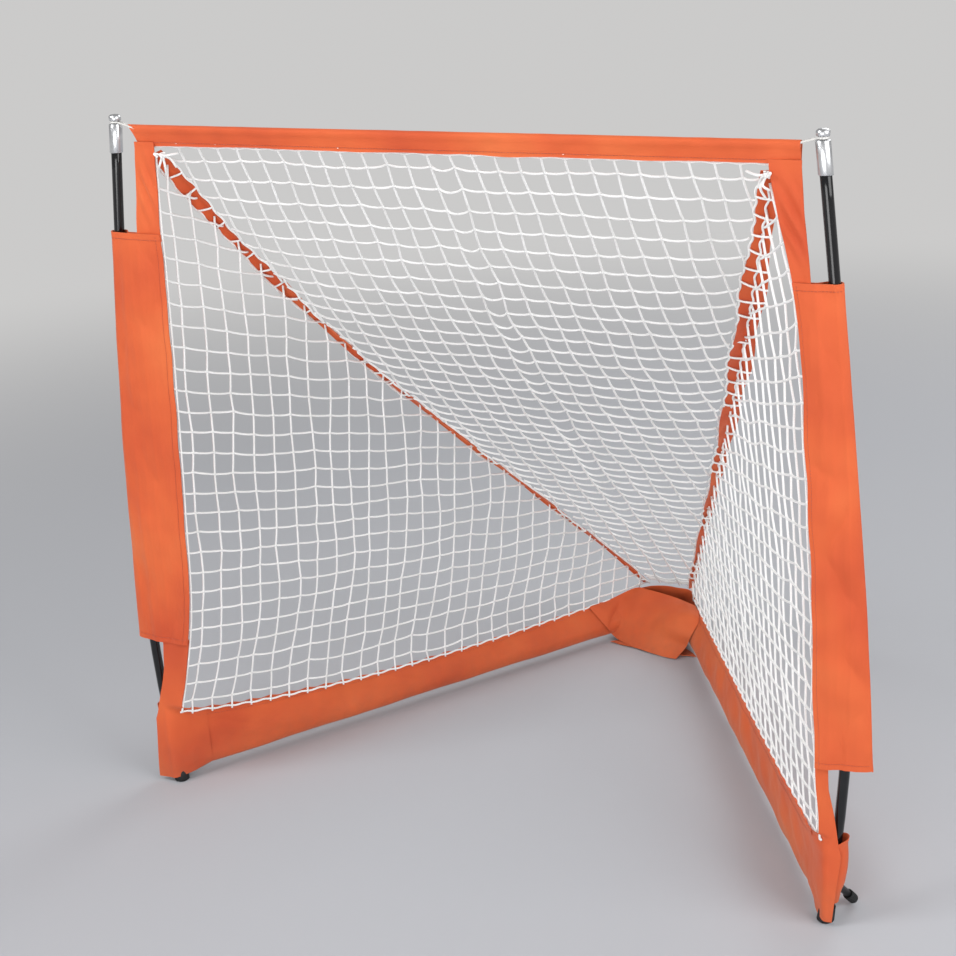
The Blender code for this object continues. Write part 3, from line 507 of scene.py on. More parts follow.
class Net:
    """Square netting: strands of points joined at knots, each knot drawn to its own place."""

    DAMPING, HOLD, DRAW, STIFFNESS = 0.9, 0.5, 1.6, 0.10
    STEPS, QUICK_STEPS, PASSES = 120, 40, 4

    def __init__(self, surface, seed):
        self.surface, self.rng = surface, np.random.default_rng(seed)
        self.points, self.fixed, self.held = [], [], []
        self.strands, self.springs, self.index = [], [], {}

    def node(self, a, b, fixed=False, key=None):
        if key is not None and key in self.index:
            return self.index[key]
        self.points.append(self.surface(a, b))
        self.fixed.append(fixed)
        self.held.append(key is not None)
        if key is not None:
            self.index[key] = len(self.points) - 1
        return len(self.points) - 1

    def strand(self, stops, slack, parts=4):
        """One length of twine through (a, b, fixed, key) stops, with slack points between them."""
        line = [self.node(*stops[0])]
        for before, after in zip(stops, stops[1:]):
            last, end = line[-1], self.node(*after)
            for t in np.arange(1, parts) / parts:
                line.append(self.node(*(before[c] + t * (after[c] - before[c]) for c in range(2))))
            line.append(end)
            chain = [last] + line[-parts:]
            gap = np.linalg.norm(np.array(self.points[end]) - self.points[last])
            rest = gap * (1 + slack(after[1])) / parts
            self.springs += [(p, q, rest) for p, q in zip(chain, chain[1:])]
        self.strands.append(line)

    def settle(self, gravity, spread, middle=()):
        """Lets the twine hang: it resists stretching but not slack, and knots stay near their places."""
        x = np.array(self.points, float)
        free = (~np.array(self.fixed))[:, None].astype(float)
        x += self.rng.normal(0, spread, x.shape) * free
        home, old = x.copy(), x.copy()
        hold = np.array(self.held)[:, None] * free * self.HOLD
        p, q, rest = (np.array(c) for c in zip(*self.springs))
        mass = np.bincount(np.concatenate([p, q]), minlength=len(x))[:, None]
        triples = np.array([(a, b, c) for s in self.strands for a, b, c in zip(s, s[1:], s[2:])]).T
        before, here, after = triples
        bends = np.maximum(np.bincount(here, minlength=len(x)), 1)[:, None]
        pull = np.array([0, 0, -gravity])
        for _ in range(self.STEPS):
            step = (x - old) * self.DAMPING + pull
            old = x.copy()
            x = x + step * free
            for _ in range(self.PASSES):
                d = x[q] - x[p]
                length = np.linalg.norm(d, axis=1)
                move = d * (np.maximum(length - rest, 0) / (length + 1e-9) / 2)[:, None]
                drawn = self.scatter(p, move, len(x)) - self.scatter(q, move, len(x))
                x = x + self.DRAW * drawn / mass * free
            lean = (x[before] + x[after]) / 2 - x[here]
            x = x + self.STIFFNESS * self.scatter(here, lean, len(x)) / bends * free
            x = x + hold * (home - x)
            x[list(middle), 0] = 0.0
        self.points = x
        return self

    @staticmethod
    def scatter(index, values, size):
        return np.stack([np.bincount(index, values[:, c], size) for c in range(3)], -1)

    def pieces(self, normal, side=0):
        """Tubes for the strands and a ball at each knot, of one side of the middle or of both."""
        pieces = Pieces()
        for line in self.strands:
            path = self.points[line]
            path = path[path[:, 0] * side > -1e-9]
            if len(path) > 2:
                pieces.tube(smooth_path(path, 2), TWINE_R, normal)
        for key, k in self.index.items():
            if key[0] != "mid" and self.points[k][0] * side > -1e-9:
                pieces.knot(self.points[k])
        return pieces


def pick(crossings, axis, number):
    """The crossings of one column (axis 0) or row (axis 1), in order."""
    return [crossings[key] for key in sorted(crossings) if key[axis] == number]


def make_side_net(label, seed):
    """Netting of one side panel, in right-hand coordinates."""
    depth, height = strap_depths(label)
    order = np.argsort(depth)
    depth, height = depth[order], height[order]
    net = Net(lambda back, z: side_point(back, z, label), seed)
    columns = np.arange(FIRST_COLUMN, depth.max() - 0.012, SIDE_COLUMN)
    fronts = np.arange(hem_top(0, label) + 0.6 * MESH, height.max() - 0.004, MESH)
    crossings = {}
    for i, back in enumerate(columns):
        top, hem = np.interp(back, depth, height), hem_top(back, label)
        for j, front_z in enumerate(fronts):
            z = row_height(front_z, back, label)
            if hem + 0.006 < z < top - 0.006:
                shift = 0.0030 * float(ripples(back, z, seed, 0.13))
                rise = 0.0022 * float(ripples(back, z, seed + 1, 0.16))
                crossings[i, j] = (back + shift, z + rise, False, (i, j))
        stops = [(back, hem - 0.004, True), *pick(crossings, 0, i), (back, top + 0.002, True)]
        net.strand(stops, lambda z: 0.012 + 0.014 * math.exp(-z / 0.3))
    across = np.linspace(0, depth.max(), 400)
    strap_z = np.interp(across, depth, height)
    for j, front_z in enumerate(fronts):
        stops = pick(crossings, 1, j)
        line = row_height(front_z, across, label)
        over = np.flatnonzero((line > strap_z) | (line < hem_top(across, label) - 0.002))
        over = over[across[over] > (stops[-1][0] if stops else 0)]
        if len(over) and stops:
            end = (across[over[0]], line[over[0]], True)
            net.strand([(-0.004, front_z, True), *stops, end], lambda z: 0.016)
    return net.settle(0.00003, 0.0009)


def make_back_net(seed):
    """Netting of the whole back panel. Rows have a point on the middle plane, where the halves meet."""
    net = Net(back_point, seed)
    rows = np.arange(0.8 * BACK_ROW, BACK_SLOPE - 0.03, BACK_ROW)
    rows = np.append(rows, BACK_SLOPE - np.array([0.020, 0.010, 0.002]))
    crossings = {}
    for i, start in enumerate((np.arange(-14, 14) + 0.5) * BACK_COLUMN):
        label = "left" if start < 0 else "right"
        if abs(start) > back_half(0, label) - 0.01:
            continue
        for j, down in enumerate(rows):
            x = start * (1 + BACK_SPREAD * down)
            if abs(x) < back_half(down, label) - 0.008:
                x += 0.0025 * float(ripples(x, down, seed, 0.12))
                drop = 0.002 * float(ripples(x, down, seed + 1, 0.15))
                crossings[i, j] = (x, down + drop, False, (i, j))
        stops = pick(crossings, 0, i)
        reach = np.linspace((stops[-1][1] if stops else 0.0) + 0.004, BACK_SLOPE, 300)
        over = reach[np.abs(start) * (1 + BACK_SPREAD * reach) > back_half(reach, label)]
        reached = over[0] if len(over) else BACK_SLOPE + 0.014
        foot = (start * (1 + BACK_SPREAD * reached), reached, True)
        net.strand([(start, -0.004, True), *stops, foot], lambda down: 0.01)
    middle = []
    for j, down in enumerate(rows):
        stops = sorted([*pick(crossings, 1, j), (0.0, down, False, ("mid", j))], key=lambda stop: stop[0])
        left, right = (float(back_half(down, label)) for label, _ in SIDES)
        ends = [(-left, down, True)], [(right, down, True)]
        net.strand(ends[0] + stops + ends[1], lambda down: 0.022 + 0.030 * math.exp(-down / 0.25))
        middle.append(net.index["mid", j])
    net.held = [held and k not in middle for k, held in enumerate(net.held)]
    return net.settle(0.00005, 0.0005, middle)


# --- materials ---


class Finish:
    """A material's nodes, with short ways to add maths, noise, colours and relief."""

    def __init__(self, name, colour, roughness, metallic=0.0, **inputs):
        self.material = bpy.data.materials.new(name)
        self.material.use_nodes = True
        self.tree = self.material.node_tree
        self.shader = self.tree.nodes["Principled BSDF"]
        self.put(self.shader, Base_Color=(*colour, 1.0), Roughness=roughness, Metallic=metallic, **inputs)

    def plug(self, socket, value):
        if isinstance(value, bpy.types.NodeSocket):
            self.tree.links.new(value, socket)
        else:
            socket.default_value = value

    def put(self, node, **inputs):
        for name, value in inputs.items():
            self.plug(node.inputs[name.replace("_", " ")], value)
        return node

    def node(self, kind, **inputs):
        return self.put(self.tree.nodes.new("ShaderNode" + kind), **inputs)

    def calc(self, operation, *values):
        node = self.node("Math")
        node.operation = operation
        for socket, value in zip(node.inputs, values):
            self.plug(socket, value)
        return node.outputs[0]

    def times(self, a, b):
        return self.calc("MULTIPLY", a, b)

    def plus(self, a, b):
        return self.calc("ADD", a, b)

    def ribs(self, turns):
        return self.calc("ABSOLUTE", self.calc("SINE", turns))

    def colours(self, source, *stops):
        node = self.node("ValToRGB", Fac=source)
        for element, (place, colour) in zip(node.color_ramp.elements, stops):
            element.position = place
            element.color = (*colour, 1.0)
        for place, colour in stops[2:]:
            node.color_ramp.elements.new(place).color = (*colour, 1.0)
        return node.outputs["Color"]

    def mix(self, factor, a, b, blend="MIX"):
        node = self.node("Mix")
        node.data_type, node.blend_type = "RGBA", blend
        for socket, value in zip((0, 6, 7), (factor, a, b)):
            self.plug(node.inputs[socket], (*value, 1.0) if isinstance(value, tuple) else value)
        return node.outputs[2]

    def relief(self, height, strength, distance, **under):
        node = self.node("Bump", Strength=strength, Distance=distance, Height=height, **under)
        self.put(self.shader, Normal=node.outputs["Normal"])
        return node.outputs["Normal"]

    def noise(self, scale, detail=4.0, stretch=(1, 1, 1)):
        where = self.node("TexCoord").outputs["Object"]
        place = self.node("Mapping", Scale=stretch, Vector=where).outputs["Vector"]
        return self.node("TexNoise", Scale=scale, Detail=detail, Vector=place).outputs["Fac"]

    def split(self, kind, output):
        return self.node("SeparateXYZ", Vector=self.node(kind).outputs[output]).outputs


def grey(level):
    return (level, level, level)


def fabric_material(name, colour, deep, pale, pitch=0.0009):
    """Woven polyester: weave relief, slow fading, dirt low down and a soft sheen."""
    f = Finish(name, colour, 0.68, Sheen_Weight=0.18, Sheen_Roughness=0.45, Specular_IOR_Level=0.35)
    f.put(f.shader, Sheen_Tint=(1.0, 0.72, 0.55, 1.0))
    uv = f.split("UVMap", "UV")
    u, v = (f.calc("SINE", f.times(uv[axis], math.pi / pitch)) for axis in "XY")
    over = f.plus(f.times(f.times(u, v), 0.5), 0.5)
    warp = f.times(f.calc("ABSOLUTE", u), over)
    weft = f.times(f.calc("ABSOLUTE", v), f.calc("SUBTRACT", 1.0, over))
    weave = f.plus(warp, weft)
    tone = f.colours(f.noise(5.0, 3.0), (0.3, deep), (0.52, colour), (0.75, pale))
    thread = f.colours(weave, (0.0, grey(0.74)), (0.75, grey(1.0)))
    cloth_colour = f.mix(0.55, tone, thread, "MULTIPLY")
    height = f.split("NewGeometry", "Position")["Z"]
    low = f.calc("SUBTRACT", 1.0, f.calc("DIVIDE", height, 0.10))
    dirt = f.times(f.calc("MAXIMUM", low, 0.0), f.noise(55.0, 6.0))
    f.put(f.shader, Base_Color=f.mix(f.times(dirt, 0.5), cloth_colour, (0.20, 0.09, 0.05)))
    wrinkle = f.relief(f.noise(11.0, 2.0, (1, 1, 0.6)), 0.8, 0.012)
    crease = f.relief(f.noise(42.0, 5.0), 0.25, 0.0015, Normal=wrinkle)
    f.relief(weave, 0.5, 0.0003, Normal=crease)
    return f.material


def twine_material(name, colour, shade, lay=0.0024):
    """Twisted twine: slanting strands round the cord, with a little grey in the grooves."""
    f = Finish(name, colour, 0.6, Sheen_Weight=0.3)
    uv = f.split("UVMap", "UV")
    along, around = f.times(uv["X"], math.pi / lay), f.times(uv["Y"], 2 * math.pi)
    height = f.times(f.ribs(f.plus(along, around)), f.ribs(f.calc("SUBTRACT", along, around)))
    tone = f.colours(height, (0.0, shade), (0.45, colour))
    spots = f.colours(f.noise(14.0), (0.3, (0.86, 0.86, 0.85)), (0.6, grey(1)))
    f.put(f.shader, Base_Color=f.mix(0.7, tone, spots, "MULTIPLY"))
    f.relief(height, 0.6, 0.0006)
    return f.material


def metal_material(name, colour, roughness):
    """Bright metal with fine turned lines, smudges and small scratches."""
    f = Finish(name, colour, roughness, 1.0)
    lines, smudge = f.noise(90.0, 3.0, (1, 1, 60)), f.noise(60.0)
    rough = f.plus(f.plus(f.times(lines, 0.18), roughness - 0.14), f.times(smudge, 0.12))
    dull = tuple(c * 0.8 for c in colour)
    f.put(f.shader, Roughness=rough, Base_Color=f.colours(smudge, (0.25, dull), (0.6, colour)))
    f.relief(lines, 0.12, 0.0004)
    return f.material


def dark_material(name, colour, worn, roughness, spread, grain, relief, coat=0.0, stretch=(1, 1, 1)):
    """Black finishes: paint, moulded rubber or glossy fibreglass, scuffed and dusty."""
    f = Finish(name, colour, roughness, Specular_IOR_Level=0.35, Coat_Weight=coat, Coat_Roughness=0.08)
    noise = f.noise(grain, 6.0, stretch)
    scuff = f.colours(f.noise(30.0, 8.0), (0.55, grey(0)), (0.8, grey(1)))
    f.put(f.shader, Base_Color=f.mix(f.times(scuff, 0.6), colour, worn))
    f.put(f.shader, Roughness=f.plus(f.times(noise, spread), roughness - spread / 2))
    f.relief(noise, relief, 0.0005)
    return f.material


POLE_GRAIN = (1, 1, 0.05)
MATERIALS = {
    name: make(name, *looks)
    for name, make, *looks in (
        ("orange_fabric", fabric_material,
         (0.69, 0.116, 0.031), (0.58, 0.078, 0.023), (0.75, 0.160, 0.044)),
        ("orange_thread", twine_material, (0.55, 0.075, 0.022), (0.30, 0.035, 0.01), 0.0006),
        ("white_net", twine_material, (0.97, 0.97, 0.96), grey(0.78)),
        ("white_cord", twine_material, (0.86, 0.85, 0.82), (0.42, 0.41, 0.40), 0.0016),
        ("black_fibreglass", dark_material, (0.004, 0.004, 0.005), (0.014, 0.014, 0.016),
         0.16, 0.08, 160.0, 0.04, 0.3, POLE_GRAIN),
        ("black_paint", dark_material, (0.008, 0.008, 0.009), grey(0.05), 0.4, 0.2, 300.0, 0.2),
        ("black_rubber", dark_material, (0.014, 0.014, 0.015), (0.08, 0.075, 0.07), 0.7, 0.2, 420.0, 0.35),
        ("bright_metal", metal_material, (0.72, 0.73, 0.75), 0.3),
        ("zinc_steel", metal_material, (0.55, 0.55, 0.53), 0.42),
        ("black_tape", dark_material, (0.018, 0.018, 0.02), grey(0.05), 0.9, 0.1, 900.0, 1.0),
    )
}


# --- what each piece is made of, moves with and stands for ---


def dress(obj, finish, node=None):
    obj.data.materials.append(MATERIALS[finish])
    if node:
        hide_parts(node)
    return obj


def fit(obj, finish, body, node=None):
    """Dresses a piece that moves with one body."""
    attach(dress(obj, finish, node), body)


def side_cloth(name, node, label, grid, thickness=CLOTH, closed=False):
    """Orange cloth of one side, given in right-hand coordinates, that moves with its arm."""
    obj = cloth(f"{name}_{label}", mirrored(grid, SIGN[label]), thickness, closed)
    fit(obj, "orange_fabric", f"arm_{label}", f"{node}_{label}")


def fan(obj, finish, label, node=None):
    """Dresses a piece that joins the hub at the middle plane to an arm at its strap, and bakes its placement into
    its mesh; it is attached to no body.
    """
    dress(obj, finish, node)
    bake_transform(obj)
    points = mesh_points(obj.data)


# --- pieces ---


def build_nets():
    """Side nets with their selvages, and the back net in two halves with its rim along the bar."""
    for label, sign in SIDES:
        pieces = make_side_net(label, 11 + sign).pieces(NET_PLANE)
        back = np.linspace(-0.002, strap_depths(label)[0].max() - 0.01, 160)
        scallop = 0.001 + 0.0012 * wave(back, SIDE_COLUMN)
        pieces.tube(side_point(back, hem_top(back, label) + scallop, label), TWINE_R, NET_PLANE)
        z = np.linspace(hem_top(0, label), NET_TOP[2] - 0.012, 160)
        pieces.tube(band_edge(z, label) - (0.0015, 0, 0), TWINE_R, NET_PLANE)
        side_net = pieces.build(f"side_netting_{label}", sign)
        fit(side_net, "white_net", f"arm_{label}", f"side_net_{label}")
    back_net = make_back_net(23)
    for label, sign in SIDES:
        pieces = back_net.pieces((0.0, 0.74, 0.67), sign)
        x = np.linspace(0, NET_TOP[0], 120)
        z = BAR_LOW.z - 0.0012 + 0.0008 * np.cos(x * 2 * math.pi / BACK_COLUMN)
        pieces.tube(mirrored(join(x, GOAL_Y + 0.003, z), sign), TIGHT_TWINE_R, (0, 1, 0))
        fan(pieces.build(f"back_netting_{label}"), "white_net", label, "back_net")


def bar_section():
    """Cross-section of the top bar, y and z: a cord's roundness above a flat stitched seam."""
    heights = (0.0, 0.35, 0.55, 0.72, 0.86, 0.95, 1.0)
    widths = (0.0, 0.0011, 0.0022, 0.0042, 0.0046, 0.003, 0.0)
    t = np.array([0, 6, 15, 25, 35, 45, 55, 64, 72, 80, 86, 91, 95, 98, 100]) / 100
    half = np.interp(t, heights, widths) + 0.0008 * arch(t) ** 0.3
    half[0], half[-1] = 0.0012, 0.0004
    z = BAR_LOW.z + t * (BAR_HIGH.z - BAR_LOW.z)
    return np.concatenate([join(GOAL_Y - half, z), join(GOAL_Y + half, z)[::-1]])


def build_top_bar():
    """Fabric bar in two halves that meet in the middle, with its seam and the cord inside."""
    section = bar_section()
    for label, sign in SIDES:
        past, cut = (0.004, 0.019) if label == "left" else (-0.002, -0.001)
        x = np.linspace(0, BAR_HIGH.x + past, 141)[:, None]
        rings = join(x, section[:, 0], section[:, 1])
        end = ramp((x - (BAR_HIGH.x - 0.03)) / 0.03)
        low = (BAR_HIGH.z - rings[:, :, 2]) / (BAR_HIGH.z - BAR_LOW.z)
        rings[:, :, 0] -= cut * end**2 * low**0.55
        fade = 1 - np.exp(-x / 0.02)
        rings[:, :, 1] += 0.0009 * ripples(x, section[:, 1] * 2, 5 + sign, 0.07) * fade
        seam = bell(rings[:, :, 2] - BAR_LOW.z, SEAM_INSET, 0.0025)
        pucker = 0.4 + 0.6 * wave(x, 0.011) ** 2
        inward = np.sign(GOAL_Y - rings[:, :, 1])
        rings[:, :, 1] += inward * 0.0007 * seam * pucker * fade
        rings[:, :, 2] += 0.0009 * ripples(x, 0 * low, 9 + sign, 0.14) * fade * low
        cover = cloth(f"top_bar_cover_{label}", mirrored(rings, sign), BAR_CLOTH, True)
        fan(cover, "orange_fabric", label, "top_bar_sleeve")
        stitches, cord = Pieces(), Pieces()
        x = np.linspace(0.002, BAR_HIGH.x - 0.02, 150)
        for face in (-1, 1):
            path = join(x, GOAL_Y + face * 0.0024, BAR_LOW.z + SEAM_INSET)
            stitches.stitches(mirrored(path, sign), (0, face, 0))
        fan(stitches.build(f"top_bar_stitching_{label}"), "orange_thread", label)
        path = join(np.linspace(0, BAR_HIGH.x - 0.003, 80), GOAL_Y, BAR_HIGH.z - 0.008)
        cord.tube(mirrored(path, sign), 0.002, (0, 1, 0), 8)
        fan(cord.build(f"top_cord_{label}"), "white_cord", label, "top_bar_cord")


def hem_thickness(edge, fold=0.009, extra=0.0009):
    """Cloth thickness by the distance from a turned-in hem's edge."""
    return CLOTH + extra / (1 + np.exp((edge - fold) / 0.0006))


def sleeve_section(along, label):
    """Across the bottom sleeve: belly under the tube, then two layers that lean over to meet the net."""
    top = hem_top(arm_back(along), label)
    lean = np.interp(along, [APEX_ALONG, NET_FOOT_ALONG], [APEX_ACROSS, NET_FOOT_ACROSS])
    angle = np.linspace(math.pi, 2 * math.pi, BELLY_POINTS)
    belly = join(HEM_HALF * np.cos(angle), ARM_Z + HEM_DROP * np.sin(angle))
    rise = np.linspace(0, 1, LAYER_POINTS + 1)[1:]
    taper = HEM_HALF + (0.0014 - HEM_HALF) * smooth(rise) ** 0.8
    shift = lean * rise**1.3
    height = ARM_Z + rise * (top - ARM_Z)
    return np.concatenate([belly, join(shift + taper, height), join(shift - taper, height)[::-1]])


def arm_back(along):
    """Distance back from the band of a point along the arm."""
    return NET_FOOT_ALONG - along


def hem_inner_face(along, z, label):
    """Across the arm, the hem's face towards the inside of the goal at a height."""
    if z < ARM_Z:
        return -HEM_HALF * math.sqrt(max(1 - ((ARM_Z - z) / HEM_DROP) ** 2, 0))
    section = sleeve_section(along, label)[HEM_TURN:]
    return float(np.interp(z, section[::-1, 1], section[::-1, 0]))


def foot_path(z, label, count):
    """Plan of the band's foot at one height: along the hem, round the socket, to the outer corner."""
    reach, beside = ARM_LENGTH - 0.062, ARM_LENGTH - 0.022
    first = on_arm(reach, hem_inner_face(reach, z, label) - 0.0013, z)[:2]
    second = on_arm(beside, min(hem_inner_face(beside, z, label) - 0.0013, -0.0145), z)[:2]
    front = np.array([pole_x(0.06), GOAL_Y - sheet_depth(z)])
    outer = band_outer(z, label) + HANG[label]["foot"] * smooth((0.15 - z) / 0.15)
    corners = (first, (first + second) / 2, second, front - (0.007, 0), front + (0.006, -0.0004),
               (outer, front[1]))
    return evenly(smooth_path(np.array([(*p, 0.0) for p in corners]), 12), count)[:, :2]


def band_strip(name, label, sign, z):
    """A length of the band; its foot, where it reaches so low, wraps round the socket."""
    t = np.linspace(0, 1, 29)
    zz, tt = np.meshgrid(z, t, indexing="ij")
    inner, outer = band_inner(zz, label), band_outer(zz, label)
    width = outer - inner
    grid = join(inner + width * tt, GOAL_Y - sheet_depth(zz), zz)
    foot = np.array([foot_path(h, label, len(t)) for h in np.minimum(z, 0.17)])
    low = smooth((0.166 - zz) / 0.034)
    grid[..., :2] = grid[..., :2] * (1 - low[..., None]) + foot * low[..., None]
    crease = bell(zz, 1.11, 0.045) * wave(tt * 0.05 * 1.2 + sign * zz * 0.7, 0.034)
    loose = 0.0008 * ripples(tt * 0.05, zz, 31 + sign, 0.16) + 0.0028 * crease
    pleats = 0.0022 * np.abs(ripples(tt * 0.09, zz, 35 + sign, 0.07))
    grid[..., 1] += (loose * (1 - low) - pleats * low) * arch(tt)
    grid[..., 0] += 0.0007 * ripples(zz, 0 * zz, 41 + sign, 0.09) * (1 - low)
    grid[..., 2] -= 0.009 * tt * smooth((0.10 - zz) / 0.08)
    thick = hem_thickness(np.minimum(tt, 1 - tt) * width, 0.007, 0.0006)
    side_cloth(name, "post_band", label, grid, thick)


def build_band(label, sign):
    """The band above and below the pole flap, tucked behind the flap's ends."""
    low, high = flap_ends(label)
    band_strip("band_foot", label, sign, np.linspace(0.017, low + 0.012, 100))
    band_strip("band_head", label, sign, np.linspace(high - 0.012, BAR_LOW.z + 0.006, 60))


def pocket_depth(x, z, face, label):
    """Depth of a flap layer: flat beside the net, rounded over the pole, meeting at the fold."""
    pole, edge = pole_x(z), flap_fold(z, label)
    around = POLE_R + 0.0018 + 0.0022 * bell(z, 0.66, 0.08)
    bulge = around * np.sqrt(ramp((edge - x) / np.maximum(edge - pole - 0.004, 0.004)))
    inside = smooth((pole - 0.004 - x) / 0.022)
    near = 0.0139 if face < 0 else -0.0072
    return GOAL_Y + face * (bulge * (1 - inside) + near * inside)


def flap_ends(label):
    return FLAP_LOW + HANG[label]["ends"][0], FLAP_HIGH + HANG[label]["ends"][1]


def flap_grid(label, columns):
    low, high = flap_ends(label)
    zz, tt = np.meshgrid(np.linspace(low, high, 151), np.linspace(0, 1, columns), indexing="ij")
    return zz, tt, np.minimum(zz - low, high - zz)


def build_flap(label, sign):
    """Front of the pole flap, from the net's edge to its outer fold, with turned-in ends."""
    zz, tt, end = flap_grid(label, 49)
    start, fold = band_inner(zz, label), flap_fold(zz, label)
    x = start + (fold - start) * tt
    front = join(x, pocket_depth(x, zz, -1, label), zz)
    fade = arch(np.clip(tt, 0.03, 0.97)) ** 0.5
    slant = np.sin((x * 0.8 + zz * 0.45) * 2 * math.pi / 0.11 + 2 * ripples(zz, 0 * zz, 47, 0.3))
    pull = 0.0030 * (1 + slant) * bell(zz, FLAP_HIGH - 0.11, 0.09)
    folds = 0.0040 * ripples(x * 1.6, zz, 51 + sign, 0.21) + 0.0007 * ripples(x * 2.5, zz, 61, 0.07)
    front[..., 1] -= (np.abs(folds) + pull) * fade
    front[..., 0] += 0.0008 * ripples(zz, 0 * zz, 41 + sign, 0.09) * (1 - tt)
    front[..., 2] += 0.004 * (tt - 0.5) * smooth(1 - (zz - zz.min()) / 0.1) * sign
    side_hem = (x - start) + 0.3 * smooth((tt - 0.6) / 0.1)
    thick = hem_thickness(np.minimum(end, side_hem))
    side_cloth("flap_outer_layer", "flap_front", label, front, thick)
    stitches = Pieces()
    normal = np.array([0, -1.0, 0])
    for line, lift in ((front[2], 0.0011), (front[-3], 0.0011), (front[:, 4], 0.0009)):
        stitches.stitches(mirrored(line + normal * lift, sign), normal)
    fit(stitches.build(f"flap_stitching_{label}"), "orange_thread", f"arm_{label}")
    build_flap_back(label, sign, front[:, -1, 1])


def build_flap_back(label, sign, fold_y):
    """Rear layer: starts inside the fold, passes behind the pole and lands on the tape."""
    zz, tt, end = flap_grid(label, 35)
    edge, stop = flap_fold(zz, label), band_inner(zz, label) + 0.007
    x = edge + (stop - edge) * tt
    back = join(x, pocket_depth(x, zz, 1, label), zz)
    back[:, 0, 1] = fold_y
    back[:, :2, 0] += 0.0005
    back[:, 1:, 1] += (0.0012 * np.abs(ripples(x, zz, 71 + sign, 0.17)) * arch(tt) ** 0.5)[:, 1:]
    layer = cloth(f"flap_inner_layer_{label}", mirrored(back, sign), hem_thickness(end))
    dress(layer, "orange_fabric", f"flap_back_{label}")
    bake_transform(layer)


def build_tapes(label, sign):
    """Hook tape on the back of the band and loop tape on the flap, which close the pole pocket."""
    zz, tt, _ = flap_grid(label, 9)
    x = band_inner(zz, label) + 0.009 + 0.022 * tt
    for name, depth, body in (("hook_tape", 0.0112, "arm"), ("loop_tape", 0.0092, "flap")):
        sheet = join(x, GOAL_Y - depth, zz * 0.994 + 0.004)
        strip = cloth(f"{name}_strip_{label}", mirrored(sheet, sign), TAPE)
        fit(strip, "black_tape", f"{body}_{label}", f"{name}_{label}")


def build_hem(label, sign):
    """Bottom sleeve round the base arm, with hanging wrinkles and the net's seam on top."""
    along = np.linspace(0.055, ARM_LENGTH - 0.030, 221)
    sections = np.array([sleeve_section(u, label) for u in along])
    rings = on_arm(along[:, None], sections[..., 0], sections[..., 1])
    height = sections[..., 1] - ARM_Z
    total = (hem_top(arm_back(along), label) - ARM_Z)[:, None]
    outer = np.where(np.arange(rings.shape[1]) < HEM_TURN, 1, -1)
    belly = ramp(-height / 0.02)
    web = ramp(height / 0.02) * ramp((total - 0.003 - height) / 0.02)
    flange = ramp((height - total + 0.03) / 0.03)
    s = along[:, None] + 0 * height
    slant = ripples(s + 0.9 * height, height, 81 + sign, 0.10)
    folds = np.abs(ripples(s * 0.6 + 1.3 * height * sign, 0 * height, 85 + sign, 0.06))
    push = (0.0020 * slant * web + 0.0012 * folds * web + 0.001 * slant * belly) * outer
    push += 0.0014 * ripples(s, 0 * height, 101 + sign, 0.2) * flange
    rings[..., :2] += push[..., None] * (ARM_COS, ARM_SIN)
    sag = HANG[label]["hem"][1] * belly * (0.5 + 0.5 * ripples(s, 0 * height, 91 + sign, 0.3))
    rings[..., 2] -= sag
    rings[..., 2] += 0.0015 * np.cos(s * 2 * math.pi / SIDE_COLUMN) * ramp(flange * 2 - 1)
    side_cloth("hem", "bottom_sleeve", label, rings, HEM_CLOTH, True)
    stitches = Pieces()
    for column, face in ((HEM_TURN - 3, 1), (HEM_TURN + 2, -1)):
        normal = np.array([ARM_COS, ARM_SIN, 0]) * face
        path = rings[4:-2, column] + normal * 0.0008
        stitches.stitches(mirrored(path, sign), mirrored(normal, sign))
    fit(stitches.build(f"hem_stitching_{label}"), "orange_thread", f"arm_{label}")


def build_collar(label, sign):
    """Open-topped fabric pocket that the pole drops into, outside the corner."""
    low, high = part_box(f"corner_pocket_{label}")
    z = np.linspace(low.z - 0.05, high.z + 0.002, 25)
    zz, aa = np.meshgrid(z, np.linspace(0, 2 * math.pi, 33)[:-1], indexing="ij")
    t = (zz - z[0]) / (z[-1] - z[0])
    radius = 0.0135 + 0.004 * t**3 + 0.0006 * ripples(aa * 0.02, zz, 111, 0.03)
    bulge = 0.006 * ramp(np.cos(aa - 0.3)) * arch(ramp(t * 1.1))
    radius = (radius + bulge) * (1 + 0.06 * np.sin(2 * aa + 0.7) + 0.05 * t * np.sin(3 * aa))
    x = pole_x(np.maximum(zz, 0.06)) + radius * np.cos(aa)
    y = np.maximum(GOAL_Y + radius * np.sin(aa), GOAL_Y - 0.0145)
    rings = join(x, y, zz + 0.006 * t**4 * np.cos(aa - 0.4))
    side_cloth("corner_collar", "corner_pocket", label, rings, HEM_CLOTH, True)


